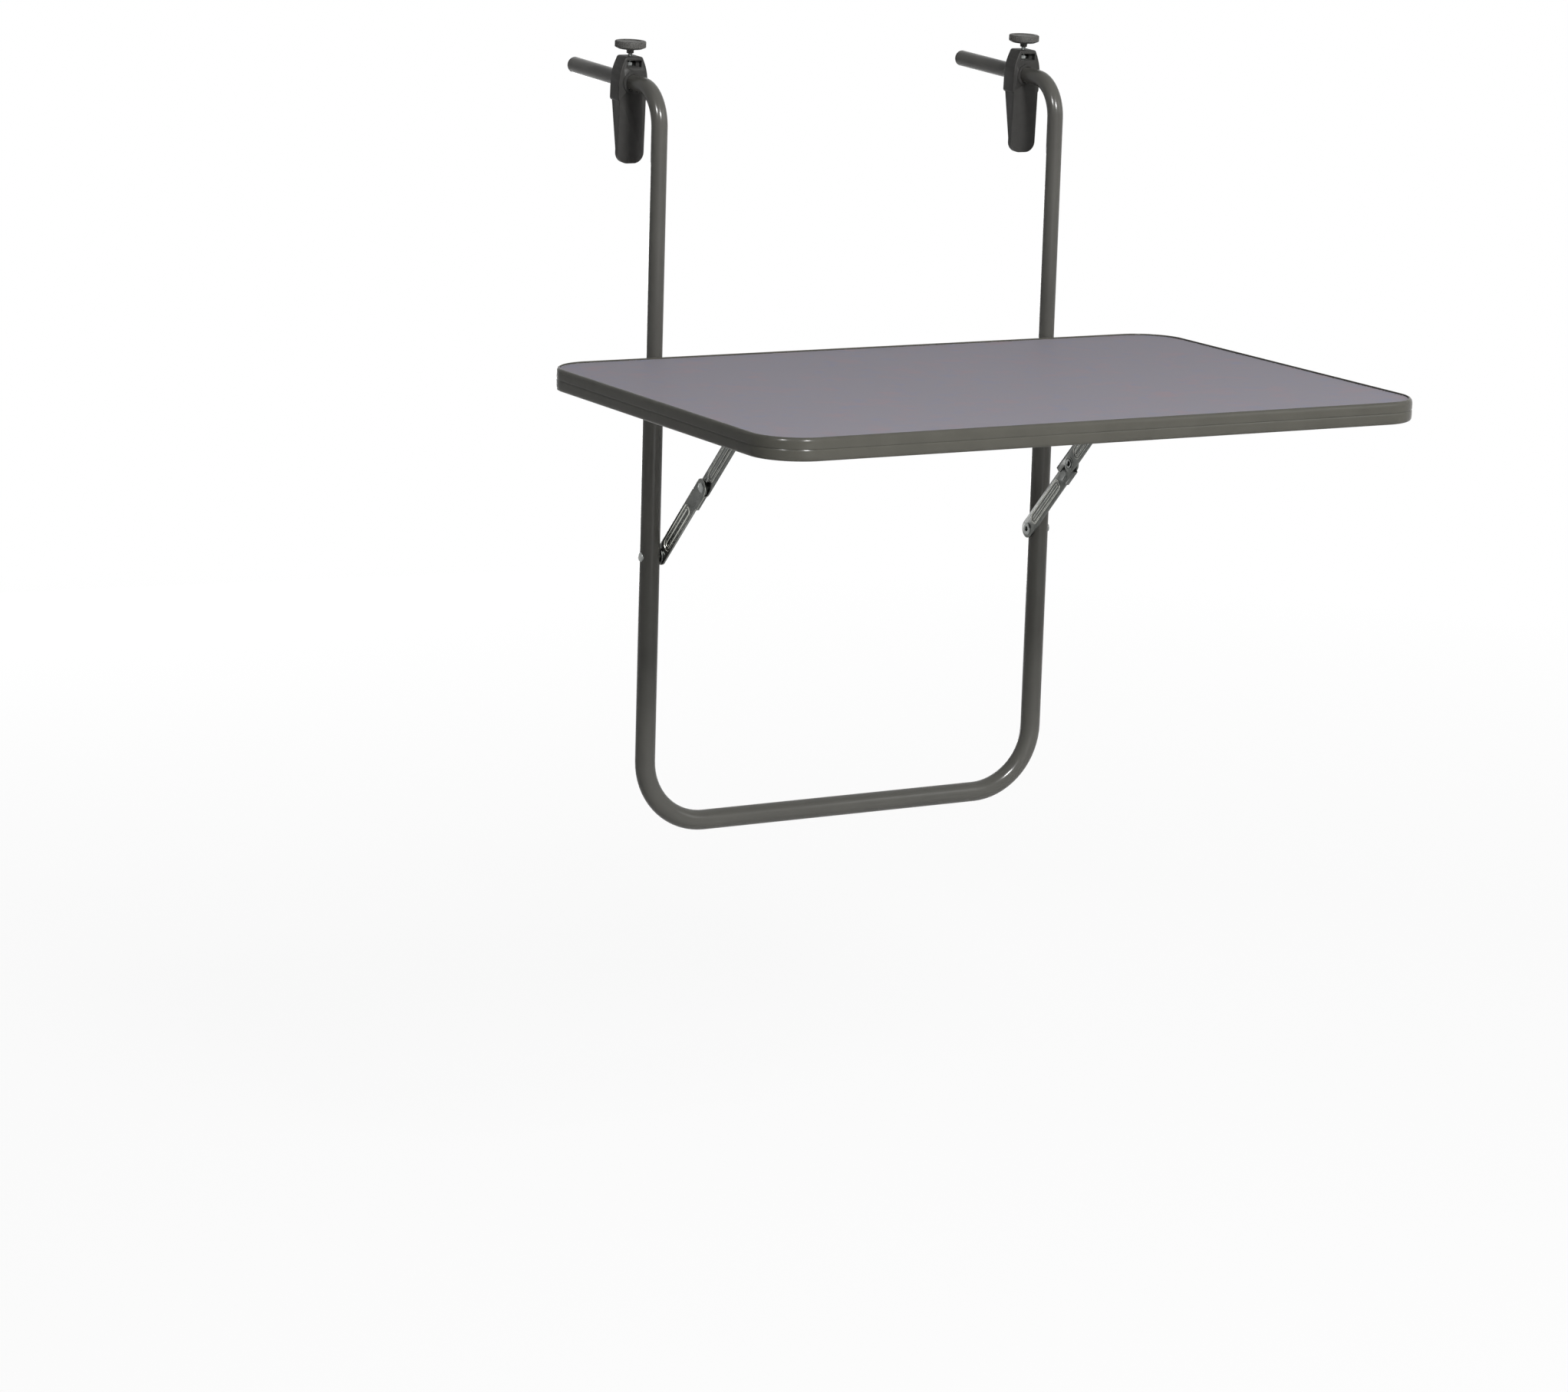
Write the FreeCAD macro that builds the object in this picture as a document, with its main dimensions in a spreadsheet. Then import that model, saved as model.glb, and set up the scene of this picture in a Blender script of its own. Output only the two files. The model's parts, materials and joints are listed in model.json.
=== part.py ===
import FreeCAD, Part
import math
import os
import re
import Sketcher
from FreeCAD import Placement, Rotation, Vector

# A folding bar table that hangs on a balcony railing.
# X runs along the railing, Y away from the user, Z up, all in millimetres.
# Y = 0 is the front face of the rail, Z = 0 is where the arms' axis crosses it.

# Driving dimensions, plain numbers in millimetres and degrees
sizes = {
    # tabletop
    "top_width": 600,
    "top_depth": 400,
    "top_drop": 217.8,
    "top_corner": 40,
    "trim_height": 18,
    "trim_wall": 2.2,
    "trim_lip": 3.2,
    "lip_thick": 1.3,
    "trim_round": 1.8,
    "seam_width": 0.7,
    "seam_depth": 0.5,
    "laminate_thick": 0.8,
    "board_gap": 1,
    # lower frame, one bent tube
    "leg_tube": 17,
    "leg_wall": 1.5,
    "leg_spacing": 380,
    "leg_bend": 56.5,
    "leg_drop": 618,
    "leg_top_gap": 4,
    # hooks over the rail, pushed into the lower frame
    "hook_tube": 13.5,
    "hook_wall": 1.5,
    "hook_bend": 32,
    "hook_insert": 50,
    "arm_rise": 2.5,
    "arm_reach": 152,
    "cap_rim": 3.5,
    "cap_stem": 14,
    "cap_edge": 1.5,
    # moulded clamp that slides on each arm
    "clamp_setback": 48.5,
    "clamp_depth": 17,
    "clamp_height": 21,
    "clamp_top_width": 15.4,
    "clamp_width": 26.5,
    "clamp_flank": 8,
    "clamp_curve": 42,
    "head_drop": 16,
    "plate_drop": 67,
    "plate_width": 24,
    "plate_thick": 5,
    "plate_corner": 9,
    "clamp_edge": 1.2,
    "collar_width": 19,
    "collar_proud": 1,
    "web_thick": 3,
    "web_drop": 55,
    "window_foot": 12.5,
    "window_width": 13.6,
    "window_height": 5.6,
    "window_depth": 4.5,
    # captive nut and thumbscrew
    "nut_width": 7,
    "nut_thick": 3.2,
    "nut_rise": 0.6,
    "screw_width": 4,
    "screw_tip": 2.4,
    "knob_width": 26,
    "knob_gap": 2.2,
    "knob_hub": 6,
    "hub_height": 2.2,
    "cone_width": 9,
    "cone_height": 1.4,
    "disc_width": 20,
    "disc_height": 1.6,
    "rim_height": 5,
    "rim_edge": 0.8,
    "dish_width": 18,
    "dish_depth": 0.5,
    "flute_width": 1.2,
    "flute_count": 48,
    # hinge of the tabletop
    "hinge_drop": 13,
    "rivet_width": 5,
    "head_width": 9,
    "head_height": 1.2,
    "sheet_thick": 2,
    "ear_radius": 8,
    "ear_round": 7.6,
    "hinge_plate_width": 60,
    "hinge_plate_depth": 26,
    "plate_round": 4,
    "screw_shank": 3.5,
    "screw_head": 7,
    "screw_head_height": 2,
    "screw_length": 10,
    "screw_spread": 42,
    "screw_pitch": 14,
    # folding stays
    "stay_reach": 138,
    "stay_angle": 45,
    "link_width": 15.6,
    "link_thick": 1.5,
    "washer_thick": 1.2,
    "washer_width": 12,
    "spacer_thick": 1.9,
    "spacer_width": 9,
    "ring_thick": 1,
    "ring_width": 10.4,
    "ring_bore": 4.4,
    "boss_width": 12,
    "boss_rim": 1.2,
    "boss_height": 0.5,
    "knee_flare": 7.6,
    "knee_head": 11,
    "knee_dome": 1,
    "top_head": 0.6,
    "ear_boss": 0.4,
    "rib_height": 0.6,
    "rib_width": 1.6,
    "rib_inset": 2.6,
    "rib_margin": 16,
    "knee_margin": 33,
    "rib_core": 3.2,
    "mark_start": 16.5,
    "mark_length": 4,
    "mark_inset": 2.6,
    "mark_width": 2.8,
    "mark_line": 0.8,
    "mark_height": 0.3,
    "flange_length": 19,
    "flange_depth": 1,
    "finger_width": 4.5,
    "notch_room": 1.6,
    "lip_start": 12.5,
    "lip_length": 6,
    "bracket_depth": 34,
    "bracket_width": 24,
    # clearances
    "slide_gap": 0.3,
    "pin_gap": 0.1,
    "fit_gap": 0.05,
    "side_gap": 0.3,
}

# Places and sizes worked out from the driving dimensions
places = {
    "leg_x": "leg_spacing / 2",
    "leg_y": "-leg_tube / 2",
    "top_z": "-top_drop",
    "under_z": "top_z - trim_height",
    "board_low": "under_z + lip_thick",
    "board_high": "top_z - lip_thick - laminate_thick",
    "laminate_high": "board_high + laminate_thick",
    "rear_y": "leg_y - leg_tube / 2 - board_gap",
    "front_y": "rear_y - top_depth",
    "leg_top": "under_z - leg_top_gap",
    "bar_z": "-leg_drop",
    "hook_foot": "leg_top - hook_insert",
    "arm_end_y": "(arm_reach - cap_rim) * cos(arm_rise)",
    "arm_end_z": "(arm_reach - cap_rim) * sin(arm_rise)",
    "hook_corner": "leg_y * tan(arm_rise)",
    "clamp_y": "clamp_setback * cos(arm_rise)",
    "clamp_z": "clamp_setback * sin(arm_rise)",
    "bore_width": "hook_tube + 2 * slide_gap",
    "slot_foot": "window_foot + nut_rise",
    "slot_width": "nut_width + 2 * side_gap",
    "nut_corner": "nut_width / 2 / cos(30)",
    "nut_foot": "slot_foot + fit_gap",
    "screw_foot": "hook_tube / 2 + side_gap",
    "knob_foot": "clamp_height + knob_gap",
    "cone_foot": "knob_foot + hub_height",
    "disc_foot": "cone_foot + cone_height",
    "rim_foot": "disc_foot + disc_height",
    "rim_high": "rim_foot + rim_height",
    "screw_high": "rim_foot + rim_height / 2",
    "hinge_y": "leg_y",
    "hinge_z": "under_z - hinge_drop",
    "ear_inside": "leg_tube / 2 + side_gap",
    "plate_low": "under_z - sheet_thick",
    "plate_rear": "hinge_y - ear_radius - 2 * sheet_thick",
    "plate_front": "plate_rear - hinge_plate_depth",
    "plate_middle": "(plate_rear + plate_front) / 2",
    "foot_y": "leg_y",
    "foot_z": "hinge_z - stay_reach",
    "head_y": "hinge_y - stay_reach",
    "head_z": "hinge_z",
    "knee_y": "(foot_y + head_y) / 2",
    "knee_z": "(foot_z + head_z) / 2",
    "link_length": "stay_reach / sqrt(2)",
    # layers of a stay, counted inwards from the leg
    "leg_inside": "leg_x - leg_tube / 2",
    "washer_inside": "leg_inside - washer_thick",
    "lower_outside": "washer_inside - side_gap",
    "lower_inside": "lower_outside - link_thick",
    "upper_outside": "lower_inside - spacer_thick",
    "upper_inside": "upper_outside - link_thick",
    "ear_outside": "upper_inside - ear_boss",
    "bracket_inside": "ear_outside - sheet_thick",
}

doc = FreeCAD.newDocument("RailTable")
sheet = doc.addObject("Spreadsheet::Sheet", "Sizes")
for row, (name, number) in enumerate(sizes.items(), start=1):
    sheet.set(f"A{row}", name)
    sheet.set(f"B{row}", str(number))
    sheet.setAlias(f"B{row}", name)
for row, (name, rule) in enumerate(places.items(), start=1):
    sheet.set(f"D{row}", name)
    sheet.set(f"E{row}", "=" + rule)
    sheet.setAlias(f"E{row}", name)
doc.recompute()

known = set(sizes) | set(places)
sides = {"left": -1, "right": 1}
tolerance = 0.01
nodes = []


# Formulas and values
def formula(text):
    # words of the sheet become references to its cells
    def cell(word):
        return "Sizes." + word[0] if word[0] in known else word[0]
    return re.sub(r"[a-z][a-z0-9_]*", cell, str(text))


def value(text):
    return float(sheet.evalExpression(formula(text)))


def bind(item, **rules):
    for name, rule in rules.items():
        item.setExpression(name, formula(rule))


# Bodies and their sketches
def new_body(label, base=("0", "0", "0"), turn="0", several=False):
    # a piece with its own frame, turned about X by an angle of the sheet
    body = doc.addObject("PartDesign::Body", label)
    body.Label = label
    body.AllowCompound = several
    body.Placement = Placement(Vector(0, 0, 0), Rotation(Vector(1, 0, 0), 0))
    for axis, rule in zip("xyz", base):
        body.setExpression(f".Placement.Base.{axis}", formula(rule))
    if turn != "0":
        body.Placement = Placement(Vector(0, 0, 0), Rotation(Vector(1, 0, 0), value(turn)))
        body.setExpression(".Placement.Rotation.Angle", formula(turn))
    nodes.append(body)
    return body


def new_sketch(body, plane, offset="0"):
    sketch = body.newObject("Sketcher::SketchObject", body.Label + "_sketch")
    support = next(o for o in body.Origin.OriginFeatures if o.Role == plane + "_Plane")
    sketch.AttachmentSupport = [(support, "")]
    sketch.MapMode = "FlatFace"
    sketch.setExpression(".AttachmentOffset.Base.z", formula(offset))
    return sketch


def pin(sketch, geometry, point, u, v):
    # holds one point of a sketch at the place that two formulas give
    for kind, axis, rule in (("DistanceX", -2, u), ("DistanceY", -1, v)):
        if rule == "0":
            sketch.addConstraint(Sketcher.Constraint("PointOnObject", geometry, point, axis))
            continue
        number = sketch.addConstraint(
            Sketcher.Constraint(kind, -1, 1, geometry, point, value(rule)))
        sketch.setExpression(f"Constraints[{number}]", formula(rule))


def measure(sketch, kind, geometry, rule):
    number = sketch.addConstraint(Sketcher.Constraint(kind, geometry, value(rule)))
    sketch.setExpression(f"Constraints[{number}]", formula(rule))


def draw_circle(sketch, u, v, width):
    middle = Vector(value(u), value(v), 0)
    circle = sketch.addGeometry(Part.Circle(middle, Vector(0, 0, 1), value(width) / 2), False)
    pin(sketch, circle, 3, u, v)
    measure(sketch, "Diameter", circle, width)


def draw_slot(sketch, u, low, high, width):
    # a racetrack along the sketch's second axis, between two centres
    across = value(width) / 2
    ends = [Vector(value(u), value(rule), 0) for rule in (low, high)]
    up = Vector(0, 0, 1)
    bottom = sketch.addGeometry(Part.ArcOfCircle(
        Part.Circle(ends[0], up, across), math.pi, 2 * math.pi), False)
    top = sketch.addGeometry(Part.ArcOfCircle(
        Part.Circle(ends[1], up, across), 0, math.pi), False)
    shift = Vector(across, 0, 0)
    right = sketch.addGeometry(Part.LineSegment(ends[0] + shift, ends[1] + shift), False)
    left = sketch.addGeometry(Part.LineSegment(ends[1] - shift, ends[0] - shift), False)
    for joint in ((bottom, 2, right, 1), (right, 2, top, 1), (top, 2, left, 1), (left, 2, bottom, 1)):
        sketch.addConstraint(Sketcher.Constraint("Tangent", *joint))
    pin(sketch, bottom, 3, u, low)
    pin(sketch, top, 3, u, high)
    measure(sketch, "Diameter", bottom, width)


def draw_corner(sketch, before, corner, after, radius):
    # the arc that rounds one corner, and the points where it starts and ends
    back = (before - corner).normalize()
    ahead = (after - corner).normalize()
    half = back.getAngle(ahead) / 2
    entry = corner + back * (radius / math.tan(half))
    leave = corner + ahead * (radius / math.tan(half))
    middle = corner + (back + ahead).normalize() * (radius / math.sin(half))
    left_turn = (corner - before).cross(after - corner).z > 0
    start, end = (entry, leave) if left_turn else (leave, entry)
    angles = [math.atan2(p.y - middle.y, p.x - middle.x) for p in (start, end)]
    arc = sketch.addGeometry(
        Part.ArcOfCircle(Part.Circle(middle, Vector(0, 0, 1), radius), *angles), False)
    return arc, entry, leave, (1, 2) if left_turn else (2, 1)


def draw_lines(sketch, corners, closed=True):
    # lines through corners (u, v) or (u, v, radius), each a formula of the sheet
    count = len(corners)
    spots = [Vector(value(corner[0]), value(corner[1]), 0) for corner in corners]
    arcs = {}
    for i, corner in enumerate(corners):
        if len(corner) == 3:
            after = spots[(i + 1) % count]
            arcs[i] = draw_corner(sketch, spots[i - 1], spots[i], after, value(corner[2]))
    lines = []
    for i in range(count if closed else count - 1):
        j = (i + 1) % count
        start = arcs[i][2] if i in arcs else spots[i]
        end = arcs[j][1] if j in arcs else spots[j]
        lines.append(sketch.addGeometry(Part.LineSegment(start, end), False))
    for i, corner in enumerate(corners):
        if not closed and i in (0, count - 1):
            line, point = (lines[0], 1) if i == 0 else (lines[-1], 2)
            pin(sketch, line, point, corner[0], corner[1])
            continue
        before = lines[i - 1]
        after = lines[i]
        if i not in arcs:
            sketch.addConstraint(Sketcher.Constraint("Coincident", before, 2, after, 1))
            pin(sketch, after, 1, corner[0], corner[1])
            continue
        arc, _, _, (first, last) = arcs[i]
        sketch.addConstraint(Sketcher.Constraint("Tangent", before, 2, arc, first))
        sketch.addConstraint(Sketcher.Constraint("Tangent", arc, last, after, 1))
        measure(sketch, "Radius", arc, corner[2])
        spot = sketch.addGeometry(Part.Point(spots[i]), True)
        sketch.addConstraint(Sketcher.Constraint("PointOnObject", spot, 1, before))
        sketch.addConstraint(Sketcher.Constraint("PointOnObject", spot, 1, after))
        pin(sketch, spot, 1, corner[0], corner[1])


# Features
def extrude(body, kind, sketch, length, reverse=False, both=False):
    feature = body.newObject("PartDesign::" + kind, body.Label + "_" + kind.lower())
    feature.Profile = sketch
    feature.SideType = "Symmetric" if both else "One side"
    feature.Reversed = reverse
    bind(feature, Length=length)
    sketch.Visibility = False
    return feature


def cut(body, sketch, length, reverse=False, both=False):
    # a pocket that must take something away
    doc.recompute()
    before = body.Shape.Volume
    feature = extrude(body, "Pocket", sketch, length, reverse, both)
    doc.recompute()
    if body.Shape.Volume >= before:
        raise ValueError(f"{feature.Name} cuts nothing")
    return feature


def revolve(body, sketch, axis):
    feature = body.newObject("PartDesign::Revolution", body.Label + "_revolution")
    feature.Profile = sketch
    feature.ReferenceAxis = (sketch, [axis])
    feature.Angle = 360
    return feature


def sweep(body, profile, path):
    feature = body.newObject("PartDesign::AdditivePipe", body.Label + "_pipe")
    feature.Profile = profile
    feature.Spine = path
    return feature


def round_edges(body, radius, wanted):
    # rounds the edges of the body that a test picks by their shape
    doc.recompute()
    base = body.Tip
    names = [f"Edge{i}" for i, edge in enumerate(base.Shape.Edges, start=1) if wanted(edge)]
    feature = body.newObject("PartDesign::Fillet", body.Label + "_fillet")
    feature.Base = (base, names)
    bind(feature, Radius=radius)
    return feature


def layer(body, side, inside, thick, draw, kind="Pad"):
    # a flat piece in the YZ plane, from one distance from the middle outwards
    sketch = new_sketch(body, "YZ", f"{side} * ({inside})")
    draw(sketch)
    if kind == "Pad":
        return extrude(body, "Pad", sketch, thick, reverse=side < 0)
    return cut(body, sketch, thick, reverse=side > 0)


def turned_on_x(label, side, place, corners):
    # a turned piece on an axis along X; corners are (distance from middle, radius)
    body = new_body(label, ("0",) + place)
    sketch = new_sketch(body, "XY")
    draw_lines(sketch, [(f"{side} * ({corner[0]})",) + tuple(corner[1:]) for corner in corners])
    revolve(body, sketch, "H_Axis")
    return body


# Lower frame: one tube bent to a U, open at its two upper ends
def leg_frame():
    body = new_body("leg_frame")
    path = new_sketch(body, "XZ", "-leg_y")
    draw_lines(path, [
        ("-leg_x", "leg_top"),
        ("-leg_x", "bar_z", "leg_bend"),
        ("leg_x", "bar_z", "leg_bend"),
        ("leg_x", "leg_top"),
    ], closed=False)
    ring = new_sketch(body, "XY", "leg_top")
    draw_circle(ring, "-leg_x", "leg_y", "leg_tube")
    draw_circle(ring, "-leg_x", "leg_y", "leg_tube - 2 * leg_wall")
    sweep(body, ring, path)
    holes = new_sketch(body, "YZ")
    draw_circle(holes, "hinge_y", "hinge_z", "rivet_width + 2 * fit_gap")
    draw_circle(holes, "foot_y", "foot_z", "rivet_width + 2 * fit_gap")
    cut(body, holes, "leg_spacing + 2 * leg_tube", both=True)


# Hooks: thinner tubes that lie over the rail and plug into the lower frame
def hook_tube(name, side):
    body = new_body(f"hook_tube_{name}")
    path = new_sketch(body, "YZ", f"{side} * leg_x")
    draw_lines(path, [
        ("leg_y", "hook_foot"),
        ("leg_y", "hook_corner", "hook_bend"),
        ("arm_end_y", "arm_end_z"),
    ], closed=False)
    ring = new_sketch(body, "XY", "hook_foot")
    draw_circle(ring, f"{side} * leg_x", "leg_y", "hook_tube")
    draw_circle(ring, f"{side} * leg_x", "leg_y", "hook_tube - 2 * hook_wall")
    sweep(body, ring, path)
    hole = new_sketch(body, "YZ", f"{side} * leg_x")
    draw_circle(hole, "hinge_y", "hinge_z", "rivet_width + 2 * fit_gap")
    cut(body, hole, "2 * hook_tube", both=True)


def end_cap(name, side):
    # a plug with a rounded rim on the rear end of an arm
    body = new_body(f"end_cap_{name}", (f"{side} * leg_x", "arm_end_y", "arm_end_z"), "arm_rise")
    outline = new_sketch(body, "XY")
    stem = "hook_tube / 2 - hook_wall - fit_gap"
    draw_lines(outline, [
        ("0", "-cap_stem"),
        (f"{stem} - cap_edge", "-cap_stem"),
        (stem, "-cap_stem + cap_edge"),
        (stem, "0"),
        ("hook_tube / 2", "0"),
        ("hook_tube / 2", "cap_rim - cap_edge"),
        ("hook_tube / 2 - cap_edge", "cap_rim"),
        ("0", "cap_rim"),
    ])
    revolve(body, outline, "V_Axis")


def on_face(edge, distance):
    # true for an edge in the front or rear face of a piece that is this far from its middle
    box = edge.BoundBox
    return box.YMax - box.YMin < tolerance and abs(abs(box.YMin) - distance) < tolerance


# Moulded clamp: a head that slides on the arm and a plate that hangs behind the rail
def clamp_body(name, side):
    body = new_body(f"clamp_body_{name}", (f"{side} * leg_x", "clamp_y", "clamp_z"), "arm_rise")
    head = new_sketch(body, "XZ")
    draw_lines(head, [
        ("-clamp_top_width / 2", "clamp_height", "2 * clamp_edge"),
        ("-clamp_width / 2", "clamp_flank", "clamp_curve"),
        ("-clamp_width / 2", "-head_drop", "2 * clamp_edge"),
        ("clamp_width / 2", "-head_drop", "2 * clamp_edge"),
        ("clamp_width / 2", "clamp_flank", "clamp_curve"),
        ("clamp_top_width / 2", "clamp_height", "2 * clamp_edge"),
    ])
    extrude(body, "Pad", head, "clamp_depth", both=True)
    round_edges(body, "clamp_edge", lambda edge: on_face(edge, value("clamp_depth") / 2))
    plate = new_sketch(body, "XZ", "clamp_depth / 2")
    draw_lines(plate, [
        ("-plate_width / 2", "-clamp_flank"),
        ("-plate_width / 2", "-plate_drop", "plate_corner"),
        ("plate_width / 2", "-plate_drop", "plate_corner"),
        ("plate_width / 2", "-clamp_flank"),
    ])
    extrude(body, "Pad", plate, "plate_thick", reverse=True)
    for edge_side in (-1, 1):
        web = new_sketch(body, "YZ", f"{edge_side} * (plate_width / 2 - web_thick)")
        draw_lines(web, [
            ("plate_thick / 2 - clamp_depth / 2", "-clamp_flank"),
            ("plate_thick / 2 - clamp_depth / 2", "-web_drop"),
            ("plate_thick - clamp_depth / 2", "-web_drop"),
            ("clamp_depth / 2 - 2 * clamp_edge", "-head_drop"),
            ("clamp_depth / 2 - 2 * clamp_edge", "-clamp_flank"),
        ])
        extrude(body, "Pad", web, "web_thick", reverse=edge_side < 0)
    collar = new_sketch(body, "XZ", "clamp_depth / 2 - clamp_edge")
    draw_circle(collar, "0", "0", "collar_width")
    extrude(body, "Pad", collar, "collar_proud + clamp_edge")
    bore = new_sketch(body, "XZ")
    draw_circle(bore, "0", "0", "bore_width")
    cut(body, bore, "2 * clamp_depth", both=True)
    window = new_sketch(body, "XZ", "clamp_depth / 2")
    draw_lines(window, [
        ("-window_width / 2", "window_foot"),
        ("window_width / 2", "window_foot"),
        ("window_width / 2", "window_foot + window_height"),
        ("-window_width / 2", "window_foot + window_height"),
    ])
    cut(body, window, "window_depth")
    slot = new_sketch(body, "XZ", "clamp_depth / 2")
    draw_lines(slot, [
        ("-slot_width / 2", "slot_foot"),
        ("slot_width / 2", "slot_foot"),
        ("slot_width / 2", "window_foot + window_height"),
        ("-slot_width / 2", "window_foot + window_height"),
    ])
    cut(body, slot, "clamp_depth / 2 + nut_corner + side_gap")
    hole = new_sketch(body, "XY", "clamp_height")
    draw_circle(hole, "0", "0", "screw_width + 2 * side_gap")
    cut(body, hole, "clamp_height")


def clamp_nut(name, side):
    # a hexagonal nut held by the walls of the slot behind the clamp's window
    body = new_body(f"clamp_nut_{name}", (f"{side} * leg_x", "clamp_y", "clamp_z"), "arm_rise")
    outline = new_sketch(body, "XY", "nut_foot")
    draw_lines(outline, [
        ("0", "-nut_corner"),
        ("nut_width / 2", "-nut_corner / 2"),
        ("nut_width / 2", "nut_corner / 2"),
        ("0", "nut_corner"),
        ("-nut_width / 2", "nut_corner / 2"),
        ("-nut_width / 2", "-nut_corner / 2"),
    ])
    draw_circle(outline, "0", "0", "screw_width + 2 * pin_gap")
    extrude(body, "Pad", outline, "nut_thick")


# Thumbscrew: a steel screw in a fluted plastic knob
def clamp_screw(name, side):
    body = new_body(f"clamp_screw_{name}", (f"{side} * leg_x", "clamp_y", "clamp_z"), "arm_rise")
    outline = new_sketch(body, "XZ")
    draw_lines(outline, [
        ("0", "screw_foot"),
        ("screw_tip / 2", "screw_foot"),
        ("screw_width / 2", "screw_foot + (screw_width - screw_tip) / 2"),
        ("screw_width / 2", "screw_high"),
        ("0", "screw_high"),
    ])
    revolve(body, outline, "V_Axis")


def clamp_knob(name, side):
    body = new_body(f"clamp_knob_{name}", (f"{side} * leg_x", "clamp_y", "clamp_z"), "arm_rise")
    outline = new_sketch(body, "XZ")
    draw_lines(outline, [
        ("screw_width / 2", "knob_foot"),
        ("knob_hub / 2", "knob_foot"),
        ("knob_hub / 2", "cone_foot"),
        ("cone_width / 2", "disc_foot"),
        ("disc_width / 2", "disc_foot"),
        ("knob_width / 2", "rim_foot"),
        ("knob_width / 2", "rim_high - rim_edge"),
        ("knob_width / 2 - rim_edge", "rim_high"),
        ("dish_width / 2", "rim_high"),
        ("dish_width / 2 - dish_depth", "rim_high - dish_depth"),
        ("0", "rim_high - dish_depth"),
        ("0", "screw_high"),
        ("screw_width / 2", "screw_high"),
    ])
    revolve(body, outline, "V_Axis")
    groove = new_sketch(body, "XY", "rim_high")
    draw_lines(groove, [
        ("knob_width / 2 - flute_width / 2", "0"),
        ("knob_width / 2 + flute_width / 2", "-flute_width"),
        ("knob_width / 2 + flute_width / 2", "flute_width"),
    ])
    flute = cut(body, groove, "rim_height + disc_height")
    flutes = body.newObject("PartDesign::PolarPattern", body.Label + "_flutes")
    flutes.Originals = [flute]
    flutes.Axis = (groove, ["N_Axis"])
    flutes.Angle = 360
    bind(flutes, Occurrences="flute_count")
    body.Tip = flutes


# Tabletop: a core board, its laminate and a plastic profile round the edge
def draw_top(sketch, wall):
    # the rounded outline of the top, moved in by a wall
    left = f"-(top_width / 2 - ({wall}))"
    right = f"top_width / 2 - ({wall})"
    corner = f"top_corner - ({wall})"
    draw_lines(sketch, [
        (left, f"front_y + {wall}", corner),
        (right, f"front_y + {wall}", corner),
        (right, f"rear_y - ({wall})", corner),
        (left, f"rear_y - ({wall})", corner),
    ])


def screw_spots(side, kind):
    # where the wood screws go, for the hinge plate and for the stay's bracket
    if kind == "hinge":
        across = [f"{side} * leg_x - screw_spread / 2", f"{side} * leg_x + screw_spread / 2"]
        along = ["plate_middle - screw_pitch / 2", "plate_middle + screw_pitch / 2"]
    else:
        across = [f"{side} * (bracket_inside - bracket_width / 2)"]
        along = ["head_y - screw_pitch / 2", "head_y + screw_pitch / 2"]
    return [(u, v) for u in across for v in along]


def tabletop_board():
    body = new_body("tabletop_board")
    outline = new_sketch(body, "XY", "board_low")
    draw_top(outline, "trim_wall + side_gap")
    extrude(body, "Pad", outline, "board_high - board_low")
    pilots = new_sketch(body, "XY", "board_low")
    for side in sides.values():
        for u, v in screw_spots(side, "hinge") + screw_spots(side, "stay"):
            draw_circle(pilots, u, v, "screw_shank + 2 * fit_gap")
    cut(body, pilots, "screw_length", reverse=True)


def tabletop_laminate():
    body = new_body("tabletop_laminate")
    outline = new_sketch(body, "XY", "board_high")
    draw_top(outline, "trim_wall + side_gap")
    extrude(body, "Pad", outline, "laminate_thick")


def edge_trim():
    # a lipped profile with a seam at half its height, run round the whole edge
    body = new_body("edge_trim")
    path = new_sketch(body, "XY", "under_z")
    draw_lines(path, [
        ("0", "front_y"),
        ("top_width / 2", "front_y", "top_corner"),
        ("top_width / 2", "rear_y", "top_corner"),
        ("-top_width / 2", "rear_y", "top_corner"),
        ("-top_width / 2", "front_y", "top_corner"),
    ])
    profile = new_sketch(body, "YZ")
    draw_lines(profile, [
        ("front_y", "under_z", "trim_round"),
        ("front_y + trim_lip", "under_z"),
        ("front_y + trim_lip", "board_low"),
        ("front_y + trim_wall", "board_low"),
        ("front_y + trim_wall", "laminate_high"),
        ("front_y + trim_lip", "laminate_high"),
        ("front_y + trim_lip", "top_z"),
        ("front_y", "top_z", "trim_round"),
        ("front_y", "(top_z + under_z + seam_width) / 2"),
        ("front_y + seam_depth", "(top_z + under_z) / 2"),
        ("front_y", "(top_z + under_z - seam_width) / 2"),
    ])
    sweep(body, profile, path)


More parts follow.
